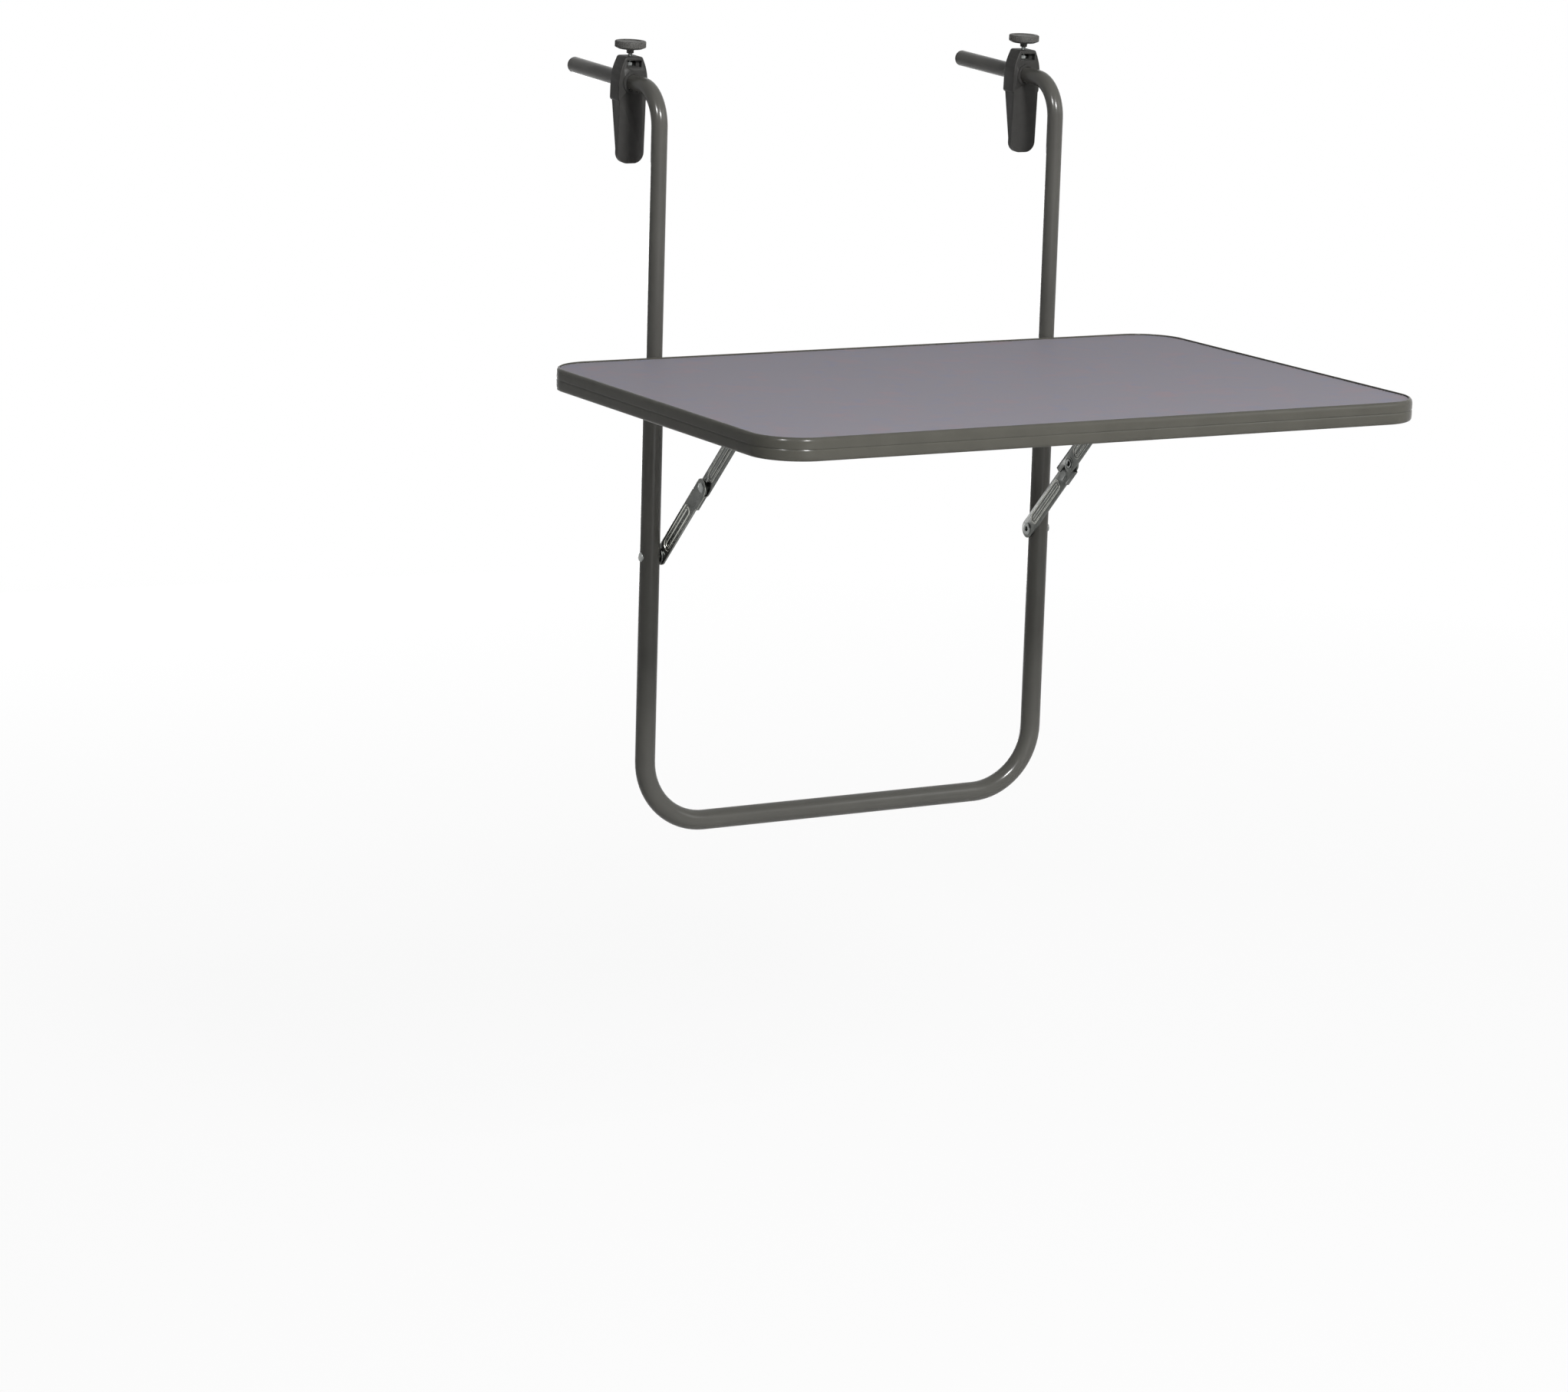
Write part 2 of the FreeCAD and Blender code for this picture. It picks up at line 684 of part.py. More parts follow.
# Hinge of the tabletop: a bracket with two ears that straddle the leg
def hinge_bracket(name, side):
    body = new_body(f"hinge_bracket_{name}", (f"{side} * leg_x", "0", "0"))
    plate = new_sketch(body, "XY", "plate_low")
    draw_lines(plate, [
        ("-hinge_plate_width / 2", "plate_front", "plate_round"),
        ("hinge_plate_width / 2", "plate_front", "plate_round"),
        ("hinge_plate_width / 2", "plate_rear", "plate_round"),
        ("-hinge_plate_width / 2", "plate_rear", "plate_round"),
    ])
    extrude(body, "Pad", plate, "under_z - plate_low")
    for ear_side in (-1, 1):
        ear = new_sketch(body, "YZ", f"{ear_side} * ear_inside")
        rear = "hinge_y + ear_radius"
        draw_lines(ear, [
            ("plate_rear - 3 * ear_radius / 2", "plate_low + sheet_thick / 2"),
            ("hinge_y - ear_radius / 2", "hinge_z - ear_radius", "ear_radius / 2"),
            (rear, "hinge_z - ear_radius", "ear_round"),
            (rear, "hinge_z + ear_radius", "ear_round"),
            ("plate_rear", "plate_low + sheet_thick / 2"),
        ])
        extrude(body, "Pad", ear, "sheet_thick", reverse=ear_side < 0)
    hole = new_sketch(body, "YZ")
    draw_circle(hole, "hinge_y", "hinge_z", "rivet_width + 2 * pin_gap")
    cut(body, hole, "4 * ear_inside", both=True)
    holes = new_sketch(body, "XY", "under_z")
    for u in ("-screw_spread / 2", "screw_spread / 2"):
        for v in ("plate_middle - screw_pitch / 2", "plate_middle + screw_pitch / 2"):
            draw_circle(holes, u, v, "screw_shank + 2 * fit_gap")
    cut(body, holes, "2 * sheet_thick")


def hinge_rivet(name, side):
    # through both ears, the leg and the hook tube inside it
    body = new_body(f"hinge_rivet_{name}", (f"{side} * leg_x", "hinge_y", "hinge_z"))
    outline = new_sketch(body, "XY")
    reach = "ear_inside + sheet_thick + pin_gap"
    corners = [
        (f"-({reach} + head_height)", "0"),
        (f"-({reach} + head_height)", "head_width / 4"),
        (f"-({reach} + head_height / 2)", "head_width / 2"),
        (f"-({reach})", "head_width / 2"),
        (f"-({reach})", "rivet_width / 2"),
    ]
    mirrored = [(f"-({corner[0]})",) + corner[1:] for corner in reversed(corners)]
    draw_lines(outline, corners + mirrored)
    revolve(body, outline, "H_Axis")


def wood_screws(label, side, kind):
    # pan heads under a plate, shanks up into the board
    body = new_body(label, several=True)
    heads = new_sketch(body, "XY", "plate_low")
    shanks = new_sketch(body, "XY", "plate_low")
    for u, v in screw_spots(side, kind):
        draw_circle(heads, u, v, "screw_head")
        draw_circle(shanks, u, v, "screw_shank")
    extrude(body, "Pad", heads, "screw_head_height", reverse=True)
    extrude(body, "Pad", shanks, "screw_length - lip_thick")


# Folding stays: each has a lower link at the leg and an upper link at the tabletop.
# Both are drawn along their own second axis, from the lower pivot at zero.
def ribbed(body, side, raised, grooved, margin):
    # a raised racetrack with a core rib on one face, and the grooves behind them on the other
    def draw(sketch):
        low = "rib_margin"
        high = f"link_length - {margin}"
        draw_slot(sketch, "0", low, high, "link_width - 2 * rib_inset")
        draw_slot(sketch, "0", low, high, "link_width - 2 * rib_inset - 2 * rib_width")
        draw_slot(sketch, "0", low, high, "rib_core")
    layer(body, side, raised, "rib_height", draw)
    layer(body, side, grooved, "rib_height", draw, "Pocket")


def stay_lower_link(name, side):
    # a flange stiffens its front edge below the knee, a notch takes the upper link's lip
    body = new_body(f"stay_lower_link_{name}", ("0", "foot_y", "foot_z"), "stay_angle")
    flange_low = "link_length - flange_length"
    flange_high = "link_length"
    notch_low = "link_length - lip_start - lip_length - side_gap"
    notch_high = "link_length - lip_start + notch_room"

    def holes(sketch):
        draw_circle(sketch, "0", "0", "rivet_width + 2 * fit_gap")
        draw_circle(sketch, "0", "link_length", "rivet_width + 2 * fit_gap")

    def root(sketch):
        draw_lines(sketch, [
            ("-link_width / 2 - link_thick", flange_low),
            ("-link_width / 4", flange_low),
            ("-link_width / 4", flange_high),
            ("-link_width / 2 - link_thick", flange_high),
        ])

    def flange(sketch):
        draw_lines(sketch, [
            ("-link_width / 2 - link_thick", flange_low),
            ("-link_width / 2", flange_low),
            ("-link_width / 2", flange_high),
            ("-link_width / 2 - link_thick", flange_high),
        ])

    def notch(sketch):
        draw_lines(sketch, [
            ("link_width / 2 - link_thick - side_gap", notch_low),
            ("link_width", notch_low),
            ("link_width", notch_high),
            ("link_width / 2 - link_thick - side_gap", notch_high),
        ])

    def mark(sketch):
        low = "link_length - mark_start - mark_length"
        high = "link_length - mark_start"
        draw_slot(sketch, "-mark_inset", low, high, "mark_width")
        draw_slot(sketch, "-mark_inset", low, high, "mark_width - 2 * mark_line")

    layer(body, side, "lower_inside", "link_thick",
          lambda sketch: draw_slot(sketch, "0", "0", "link_length", "link_width"))
    ribbed(body, side, "lower_inside - rib_height", "lower_outside - rib_height", "knee_margin")
    layer(body, side, "lower_inside", "link_thick", root)
    layer(body, side, "lower_inside - flange_depth", "flange_depth + link_thick", flange)
    layer(body, side, "lower_inside - mark_height", "mark_height", mark)
    layer(body, side, "lower_inside", "link_thick", holes, "Pocket")
    layer(body, side, "lower_inside", "link_thick", notch, "Pocket")


def stay_upper_link(name, side):
    # a finger passes the knee along the rear edge, its lip rests in the lower link's notch
    body = new_body(f"stay_upper_link_{name}", ("0", "knee_y", "knee_z"), "stay_angle")
    tip = "-(lip_start + lip_length)"

    def holes(sketch):
        draw_circle(sketch, "0", "0", "rivet_width + 2 * pin_gap")
        draw_circle(sketch, "0", "link_length", "rivet_width + 2 * pin_gap")

    def finger(sketch):
        draw_lines(sketch, [
            ("link_width / 2 - finger_width", "0"),
            ("link_width / 2 - finger_width", tip, "finger_width / 3"),
            ("link_width / 2", tip),
            ("link_width / 2", "0"),
        ])

    def lip(sketch):
        draw_lines(sketch, [
            ("link_width / 2 - link_thick", tip),
            ("link_width / 2", tip),
            ("link_width / 2", "-lip_start"),
            ("link_width / 2 - link_thick", "-lip_start"),
        ])

    def boss(sketch):
        draw_circle(sketch, "0", "0", "boss_width")
        draw_circle(sketch, "0", "0", "boss_width - 2 * boss_rim")

    layer(body, side, "upper_inside", "link_thick",
          lambda sketch: draw_slot(sketch, "0", "0", "link_length", "link_width"))
    layer(body, side, "upper_inside - boss_height", "boss_height", boss)
    layer(body, side, "upper_inside", "link_thick", finger)
    ribbed(body, side, "upper_outside", "upper_inside", "rib_margin")
    layer(body, side, "upper_inside", "link_thick", holes, "Pocket")
    layer(body, side, "upper_inside", "lower_outside - upper_inside", lip)


def stay_leg_rivet(name, side):
    # a head on the outside of the leg, a shank that ends in the washer
    high = "leg_x + leg_tube / 2"
    turned_on_x(f"stay_leg_rivet_{name}", side, ("foot_y", "foot_z"), [
        ("washer_inside", "0"),
        ("washer_inside", "rivet_width / 2"),
        (high, "rivet_width / 2"),
        (high, "head_width / 2"),
        (f"{high} + head_height / 2", "head_width / 2"),
        (f"{high} + head_height", "head_width / 4"),
        (f"{high} + head_height", "0"),
    ])


def stay_leg_washer(name, side):
    turned_on_x(f"stay_leg_washer_{name}", side, ("foot_y", "foot_z"), [
        ("washer_inside", "rivet_width / 2 + fit_gap"),
        ("washer_inside", "washer_width / 2"),
        ("leg_inside", "washer_width / 2"),
        ("leg_inside", "rivet_width / 2 + fit_gap"),
    ])


def stay_pivot_ring(name, side):
    # the hollow head that closes the lower pivot on the inner side
    turned_on_x(f"stay_pivot_ring_{name}", side, ("foot_y", "foot_z"), [
        ("lower_inside - ring_thick", "ring_bore / 2"),
        ("lower_inside - ring_thick", "ring_width / 2 - ring_thick"),
        ("lower_inside - ring_thick / 2", "ring_width / 2"),
        ("lower_inside", "ring_width / 2"),
        ("lower_inside", "rivet_width / 2"),
        ("lower_outside", "rivet_width / 2"),
        ("lower_outside", "ring_bore / 2"),
    ])


def stay_knee_rivet(name, side):
    # hollow and flared on the inner side, a closed domed head on the outer
    turned_on_x(f"stay_knee_rivet_{name}", side, ("knee_y", "knee_z"), [
        ("lower_inside", "0"),
        ("lower_inside", "ring_bore / 2"),
        ("upper_inside", "ring_bore / 2"),
        ("upper_inside - ring_thick", "knee_flare / 2 - ring_thick / 2"),
        ("upper_inside - ring_thick", "knee_flare / 2"),
        ("upper_inside", "knee_flare / 2"),
        ("upper_inside", "rivet_width / 2"),
        ("lower_outside", "rivet_width / 2"),
        ("lower_outside", "knee_head / 2"),
        ("lower_outside + knee_dome", "knee_head / 4"),
        ("lower_outside + knee_dome", "0"),
    ])


def stay_knee_spacer(name, side):
    turned_on_x(f"stay_knee_spacer_{name}", side, ("knee_y", "knee_z"), [
        ("upper_outside", "rivet_width / 2 + fit_gap"),
        ("upper_outside", "spacer_width / 2"),
        ("lower_inside", "spacer_width / 2"),
        ("lower_inside", "rivet_width / 2 + fit_gap"),
    ])


def stay_top_bracket(name, side):
    body = new_body(f"stay_top_bracket_{name}")
    inner = f"{side} * (bracket_inside - bracket_width)"
    outer = f"{side} * (bracket_inside + sheet_thick)"
    plate = new_sketch(body, "XY", "plate_low")
    draw_lines(plate, [
        (inner, "head_y - bracket_depth / 2", "plate_round"),
        (outer, "head_y - bracket_depth / 2"),
        (outer, "head_y + bracket_depth / 2"),
        (inner, "head_y + bracket_depth / 2", "plate_round"),
    ])
    extrude(body, "Pad", plate, "under_z - plate_low")

    def ear(sketch):
        draw_lines(sketch, [
            ("head_y - bracket_depth / 2", "plate_low + sheet_thick / 2"),
            ("head_y - ear_radius", "head_z - ear_radius", "ear_round"),
            ("head_y + ear_radius", "head_z - ear_radius", "ear_round"),
            ("head_y + bracket_depth / 2", "plate_low + sheet_thick / 2"),
        ])

    layer(body, side, "bracket_inside", "sheet_thick", ear)
    layer(body, side, "ear_outside", "ear_boss",
          lambda sketch: draw_circle(sketch, "head_y", "head_z", "washer_width"))
    layer(body, side, "bracket_inside", "sheet_thick + ear_boss",
          lambda sketch: draw_circle(sketch, "head_y", "head_z", "rivet_width + 2 * fit_gap"), "Pocket")
    holes = new_sketch(body, "XY", "under_z")
    for u, v in screw_spots(side, "stay"):
        draw_circle(holes, u, v, "screw_shank + 2 * fit_gap")
    cut(body, holes, "2 * sheet_thick")


def stay_top_rivet(name, side):
    turned_on_x(f"stay_top_rivet_{name}", side, ("head_y", "head_z"), [
        ("bracket_inside - ring_thick", "0"),
        ("bracket_inside - ring_thick", "head_width / 2 - ring_thick"),
        ("bracket_inside - ring_thick / 2", "head_width / 2"),
        ("bracket_inside", "head_width / 2"),
        ("bracket_inside", "rivet_width / 2"),
        ("upper_outside", "rivet_width / 2"),
        ("upper_outside", "head_width / 2"),
        ("upper_outside + top_head", "head_width / 2"),
        ("upper_outside + top_head", "0"),
    ])


leg_frame()
tabletop_board()
tabletop_laminate()
edge_trim()
for name, side in sides.items():
    hook_tube(name, side)
    end_cap(name, side)
    clamp_body(name, side)
    clamp_nut(name, side)
    clamp_screw(name, side)
    clamp_knob(name, side)
    hinge_bracket(name, side)
    hinge_rivet(name, side)
    wood_screws(f"hinge_screws_{name}", side, "hinge")
    stay_lower_link(name, side)
    stay_upper_link(name, side)
    stay_leg_rivet(name, side)
    stay_leg_washer(name, side)
    stay_pivot_ring(name, side)
    stay_knee_rivet(name, side)
    stay_knee_spacer(name, side)
    stay_top_bracket(name, side)
    stay_top_rivet(name, side)
    wood_screws(f"stay_bracket_screws_{name}", side, "stay")
doc.recompute()

# Every feature must be sound before anything is written
for item in doc.Objects:
    if "Invalid" in item.State or "Error" in item.State:
        raise ValueError(f"{item.Name} failed: {item.State}")
for body in nodes:
    if body.Shape.isNull() or not body.Shape.isValid():
        raise ValueError(f"{body.Label} has no valid shape")

os.makedirs("parts", exist_ok=True)
for body in nodes:
    body.Shape.exportStep(os.path.join("parts", body.Label + ".step"))
    print(f"{body.Label}: {len(body.Shape.Solids)} solids, {body.Shape.Volume:.0f} mm3")
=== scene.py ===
import json
import math

import bpy
from mathutils import Matrix, Vector

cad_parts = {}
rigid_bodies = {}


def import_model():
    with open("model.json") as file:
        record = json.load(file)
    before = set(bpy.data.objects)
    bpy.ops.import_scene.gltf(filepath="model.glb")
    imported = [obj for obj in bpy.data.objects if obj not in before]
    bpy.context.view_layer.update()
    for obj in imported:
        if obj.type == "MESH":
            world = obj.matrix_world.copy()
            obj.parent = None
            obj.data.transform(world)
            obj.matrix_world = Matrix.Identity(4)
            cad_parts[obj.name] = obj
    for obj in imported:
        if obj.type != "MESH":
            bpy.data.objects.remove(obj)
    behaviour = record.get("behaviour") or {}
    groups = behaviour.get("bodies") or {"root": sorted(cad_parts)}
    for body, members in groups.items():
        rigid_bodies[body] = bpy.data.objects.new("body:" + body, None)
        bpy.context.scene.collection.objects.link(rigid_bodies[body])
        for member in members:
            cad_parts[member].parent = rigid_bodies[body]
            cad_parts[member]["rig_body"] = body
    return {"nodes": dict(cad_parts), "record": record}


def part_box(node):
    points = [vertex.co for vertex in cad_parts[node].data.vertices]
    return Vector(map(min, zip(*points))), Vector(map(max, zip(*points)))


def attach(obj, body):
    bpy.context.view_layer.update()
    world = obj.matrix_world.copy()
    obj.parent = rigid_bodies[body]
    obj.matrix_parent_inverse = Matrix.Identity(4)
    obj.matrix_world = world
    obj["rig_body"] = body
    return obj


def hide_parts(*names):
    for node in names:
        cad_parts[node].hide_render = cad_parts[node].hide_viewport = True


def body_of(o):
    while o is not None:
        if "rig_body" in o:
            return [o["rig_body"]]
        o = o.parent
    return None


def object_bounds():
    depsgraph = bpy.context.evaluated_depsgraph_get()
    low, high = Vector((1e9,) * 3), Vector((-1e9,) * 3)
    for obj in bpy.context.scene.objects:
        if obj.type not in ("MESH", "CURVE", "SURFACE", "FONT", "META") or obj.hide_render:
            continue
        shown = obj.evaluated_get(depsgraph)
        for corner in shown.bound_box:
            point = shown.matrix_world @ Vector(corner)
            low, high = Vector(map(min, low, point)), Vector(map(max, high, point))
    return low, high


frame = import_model()
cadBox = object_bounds()
print("frame loaded:", len(frame["nodes"]), "nodes")


# materials

class Signal:
    # wraps one output socket, so that shader maths reads as plain expressions
    def __init__(self, shader, socket):
        self.shader = shader
        self.socket = socket

    def math(self, operation, *values):
        return self.shader.add("ShaderNodeMath", {"operation": operation}, list(values))

    def __add__(self, other):
        return self.math("ADD", self, other)

    def __radd__(self, other):
        return self.math("ADD", other, self)

    def __sub__(self, other):
        return self.math("SUBTRACT", self, other)

    def __rsub__(self, other):
        return self.math("SUBTRACT", other, self)

    def __mul__(self, other):
        return self.math("MULTIPLY", self, other)

    def __rmul__(self, other):
        return self.math("MULTIPLY", other, self)

    def above(self, low, high):
        # 0 below low, 1 above high, straight in between
        return self.shader.add("ShaderNodeMapRange", {"clamp": True},
                               {"Value": self, "From Min": low, "From Max": high})

    def spread(self, low, more):
        # low where the signal is 0, rising by more where it is 1
        return low + more * self


class Shader:
    # the nodes of a new material or world, and the one node that its looks are set on
    def __init__(self, name, family="materials", surface="Principled BSDF"):
        self.owner = getattr(bpy.data, family).new(name)
        self.owner.use_nodes = True
        self.nodes = self.owner.node_tree.nodes
        self.links = self.owner.node_tree.links
        self.surface = self.nodes[surface]

    def add(self, kind, settings=None, values=None, output=0):
        # settings first, then a value or a link for each socket that is named
        node = self.nodes.new(kind)
        for key, value in (settings or {}).items():
            setattr(node, key, value)
        pairs = values.items() if isinstance(values, dict) else enumerate(values or [])
        for key, value in pairs:
            self.plug(node.inputs[key], value)
        return Signal(self, node.outputs[output])

    def plug(self, socket, value):
        if isinstance(value, Signal):
            self.links.new(value.socket, socket)
        else:
            socket.default_value = value

    def set(self, **values):
        # inputs of the surface, with underscores for spaces
        for key, value in values.items():
            self.plug(self.surface.inputs[key.replace("_", " ")], value)

    def place(self, stretch=(1, 1, 1)):
        here = self.add("ShaderNodeTexCoord", output="Object")
        return self.add("ShaderNodeMapping", values={"Vector": here, "Scale": stretch})

    def noise(self, size, detail, rough, stretch=(1, 1, 1)):
        # size is that of one blotch, in metres
        return self.add("ShaderNodeTexNoise", values={
            "Vector": self.place(stretch), "Scale": 1 / size, "Detail": detail, "Roughness": rough})

    def blend(self, factor, low, high):
        # sockets go by number here, because the node has several of each name
        return self.add("ShaderNodeMix", {"data_type": "RGBA"}, {0: factor, 6: low, 7: high}, 2)

    def bump(self, height, depth, strength):
        normal = self.add("ShaderNodeBump", values={
            "Height": height, "Distance": depth, "Strength": strength})
        self.set(Normal=normal)

    def directRays(self):
        # 1 for the camera's own rays and those that metal or glass sends on
        rays = self.add("ShaderNodeLightPath").socket.node
        camera, gloss, glass = (Signal(self, rays.outputs[kind]) for kind in (
            "Is Camera Ray", "Is Glossy Ray", "Is Transmission Ray"))
        return camera.math("MAXIMUM", camera.math("MAXIMUM", camera, gloss), glass)


def shade(level, tint=(1, 1, 1)):
    return (level * tint[0], level * tint[1], level * tint[2], 1)


# finishes: patches, grain, flecks and clouds are noise, as (size in metres, detail, roughness).
# A surface's own roughness is (least, spread) or one number, bump is (depth in metres, strength)

coatOfPaint = {
    "dark": shade(0.072, (1.02, 1.0, 0.92)),
    "light": shade(0.096, (1.02, 1.0, 0.90)),
    "patch": (0.05, 2, 0.5),
    "grain": (0.0006, 2, 0.6),
    "roughness": (0.17, 0.08),
    "gloss": 0.1,
    "bump": (0.00002, 0.5),
}


def makePaint():
    s = Shader("tubePaint")
    patch = s.noise(*coatOfPaint["patch"])
    grain = s.noise(*coatOfPaint["grain"])
    s.set(Base_Color=s.blend(patch, coatOfPaint["dark"], coatOfPaint["light"]),
          Roughness=patch.spread(*coatOfPaint["roughness"]),
          Specular_IOR_Level=coatOfPaint["gloss"])
    s.bump(grain, *coatOfPaint["bump"])
    return s.owner


topSurface = {
    "grey": shade(0.276, (1.0, 0.95, 1.08)),
    "pink": shade(0.282, (1.09, 0.915, 1.02)),
    "blue": shade(0.272, (0.94, 0.945, 1.20)),
    "pale": shade(0.36),
    "warm": (0.030, 4, 0.6),
    "cool": (0.015, 3, 0.6, (1, 1, 3)),
    "fleck": (0.0022, 2, 0.7),
    "pinkRange": (0.52, 0.72),
    "blueRange": (0.54, 0.74),
    "paleShare": 0.12,
    "roughness": (0.52, 0.12),
    "gloss": 0.01,
    "bump": (0.00002, 0.3),
}


def makeLaminate():
    s = Shader("laminate")
    warm = s.noise(*topSurface["warm"])
    cool = s.noise(*topSurface["cool"])
    fleck = s.noise(*topSurface["fleck"])
    tint = s.blend(warm.above(*topSurface["pinkRange"]), topSurface["grey"], topSurface["pink"])
    tint = s.blend(cool.above(*topSurface["blueRange"]), tint, topSurface["blue"])
    s.set(Base_Color=s.blend(topSurface["paleShare"] * fleck, tint, topSurface["pale"]),
          Roughness=fleck.spread(*topSurface["roughness"]),
          Specular_IOR_Level=topSurface["gloss"])
    s.bump(fleck, *topSurface["bump"])
    return s.owner


edgeProfile = {
    "dark": shade(0.064, (1.03, 1.0, 0.86)),
    "light": shade(0.086, (1.03, 1.0, 0.86)),
    "patch": (0.03, 3, 0.6),
    "grain": (0.0005, 2, 0.6),
    "roughness": (0.19, 0.06),
    "gloss": 0.055,
    "bump": (0.00002, 0.3),
}


def makeEdge():
    s = Shader("edgePlastic")
    patch = s.noise(*edgeProfile["patch"])
    grain = s.noise(*edgeProfile["grain"])
    s.set(Base_Color=s.blend(patch, edgeProfile["dark"], edgeProfile["light"]),
          Roughness=grain.spread(*edgeProfile["roughness"]),
          Specular_IOR_Level=edgeProfile["gloss"])
    s.bump(grain, *edgeProfile["bump"])
    return s.owner


mouldedPlastic = {
    "clamp": (shade(0.029, (1.02, 1.0, 0.95)), shade(0.046, (1.02, 1.0, 0.95))),
    "knob": (shade(0.066, (1.02, 1.0, 0.94)), shade(0.092, (1.02, 1.0, 0.94))),
    # lighter tone for the rounded edges of the clamp bodies: a painted highlight
    "paintedHighlightEdge": (shade(0.070), shade(0.115)),
    "patch": (0.010, 3, 0.6),
    "grain": (0.0004, 2, 0.7),
    "roughness": (0.40, 0.15),
    "gloss": 0.08,
    "bump": (0.00004, 0.5),
}


def makePlastic(use):
    s = Shader(use + "Plastic")
    patch = s.noise(*mouldedPlastic["patch"])
    grain = s.noise(*mouldedPlastic["grain"])
    s.set(Base_Color=s.blend(patch, *mouldedPlastic[use]),
          Roughness=grain.spread(*mouldedPlastic["roughness"]),
          Specular_IOR_Level=mouldedPlastic["gloss"])
    s.bump(grain, *mouldedPlastic["bump"])
    return s.owner


zincPlate = {
    "flat": (shade(0.060, (0.93, 1.0, 0.96)), shade(0.128, (0.97, 1.0, 0.93))),
    "rivet": (shade(0.14, (0.94, 1.0, 0.98)), shade(0.32, (0.97, 1.0, 0.97))),
    # far lighter tone for the rounded edges and ridge rims of the stays and brackets: a painted
    # highlight
    "edge": (shade(0.42, (0.98, 1.0, 0.91)), shade(0.62, (1.0, 1.0, 0.92))),
    "cloud": (0.007, 4, 0.6),
    "brush": (0.0005, 2, 0.6),
    "cloudRange": (0.3, 0.7),
    "cloudShare": 0.7,
    "brushShare": 0.3,
    "roughness": {"flat": (0.27, 0.14), "rivet": (0.22, 0.14), "edge": (0.20, 0.14)},
    "bump": (0.00002, 0.3),
}


def makeZinc(use):
    s = Shader(use + "Zinc")
    cloud = s.noise(*zincPlate["cloud"])
    brush = s.noise(*zincPlate["brush"])
    tone = (zincPlate["cloudShare"] * cloud.above(*zincPlate["cloudRange"])
            + zincPlate["brushShare"] * brush)
    s.set(Base_Color=s.blend(tone, *zincPlate[use]),
          Metallic=1.0,
          Roughness=tone.spread(*zincPlate["roughness"][use]))
    s.bump(cloud, *zincPlate["bump"])
    return s.owner


underside = {
    "dark": shade(0.060, (1.0, 0.98, 0.93)),
    "light": shade(0.085, (1.0, 0.98, 0.93)),
    "grain": (0.0016, 3, 0.7),
    "grainRange": (0.3, 0.7),
    "roughness": 0.6,
    "bump": (0.00003, 0.4),
}


def makeUnderside():
    s = Shader("backingFoil")
    grain = s.noise(*underside["grain"])
    s.set(Base_Color=s.blend(grain.above(*underside["grainRange"]),
                             underside["dark"], underside["light"]),
          Roughness=underside["roughness"])
    s.bump(grain, *underside["bump"])
    return s.owner


finishes = {
    "tube_paint": makePaint(),
    "laminate": makeLaminate(),
    "edge_plastic": makeEdge(),
    "dark_plastic": makePlastic("clamp"),
    "zinc_steel": makeZinc("flat"),
    "board_core": makeUnderside(),
}
knobFinish = makePlastic("knob")
rivetFinish = makeZinc("rivet")
# lighter finishes for rounded edges and ridge rims: painted highlights
paintedHighlightFinishes = {"dark_plastic": makePlastic("paintedHighlightEdge"), "zinc_steel": makeZinc("edge")}
print("materials made")

slotOf = {part["node"]: part["material_slot"] for part in frame["record"]["subparts"]}
for node, slotName in slotOf.items():
    mesh = frame["nodes"][node].data
    mesh.materials.clear()
    mesh.materials.append(finishes[slotName])
print("finishes given to the frame")


# modelling helpers: pieces are made upright at the origin, in metres, and then put in place

mm = 0.001
weld = 0.000001   # points nearer than this are one


def deselect():
    if bpy.context.mode != "OBJECT":
        bpy.ops.object.mode_set(mode="OBJECT")
    bpy.ops.object.select_all(action="DESELECT")


def activate(piece):
    deselect()
    piece.select_set(True)
    bpy.context.view_layer.objects.active = piece


def clearMarks(piece):
    for group in (piece.data.polygons, piece.data.edges, piece.data.vertices):
        for item in group:
            item.select = False


def edit(piece, wanted):
    # opens a piece for editing, with the points selected whose place passes a test
    activate(piece)
    clearMarks(piece)
    for point in piece.data.vertices:
        point.select = wanted(point.co)
    bpy.ops.object.mode_set(mode="EDIT")
    bpy.ops.mesh.select_mode(type="VERT")


def close(piece, smooth=30):
    # merges doubles and turns every face outwards
    edit(piece, lambda place: True)
    bpy.ops.mesh.remove_doubles(threshold=weld)
    bpy.ops.mesh.normals_make_consistent(inside=False)
    deselect()
    piece.select_set(True)
    bpy.ops.object.shade_smooth_by_angle(angle=math.radians(smooth))


def applyModifier(piece, kind, **settings):
    activate(piece)
    modifier = piece.modifiers.new(kind.lower(), kind)
    for key, value in settings.items():
        setattr(modifier, key, value)
    bpy.ops.object.modifier_apply(modifier=modifier.name)


def raiseRing(rise, ratio=1, centre=(0, 0, 0)):
    # draws the selected ring up to the next one, and sizes that about a centre
    bpy.ops.mesh.extrude_region_move(TRANSFORM_OT_translate={"value": (0, 0, rise)})
    if ratio != 1:
        bpy.ops.transform.resize(value=(ratio, ratio, 1), center_override=centre)


def capRing():
    # closes the selected ring with a fan of faces
    bpy.ops.mesh.extrude_region_move()
    bpy.ops.mesh.merge(type="CENTER")


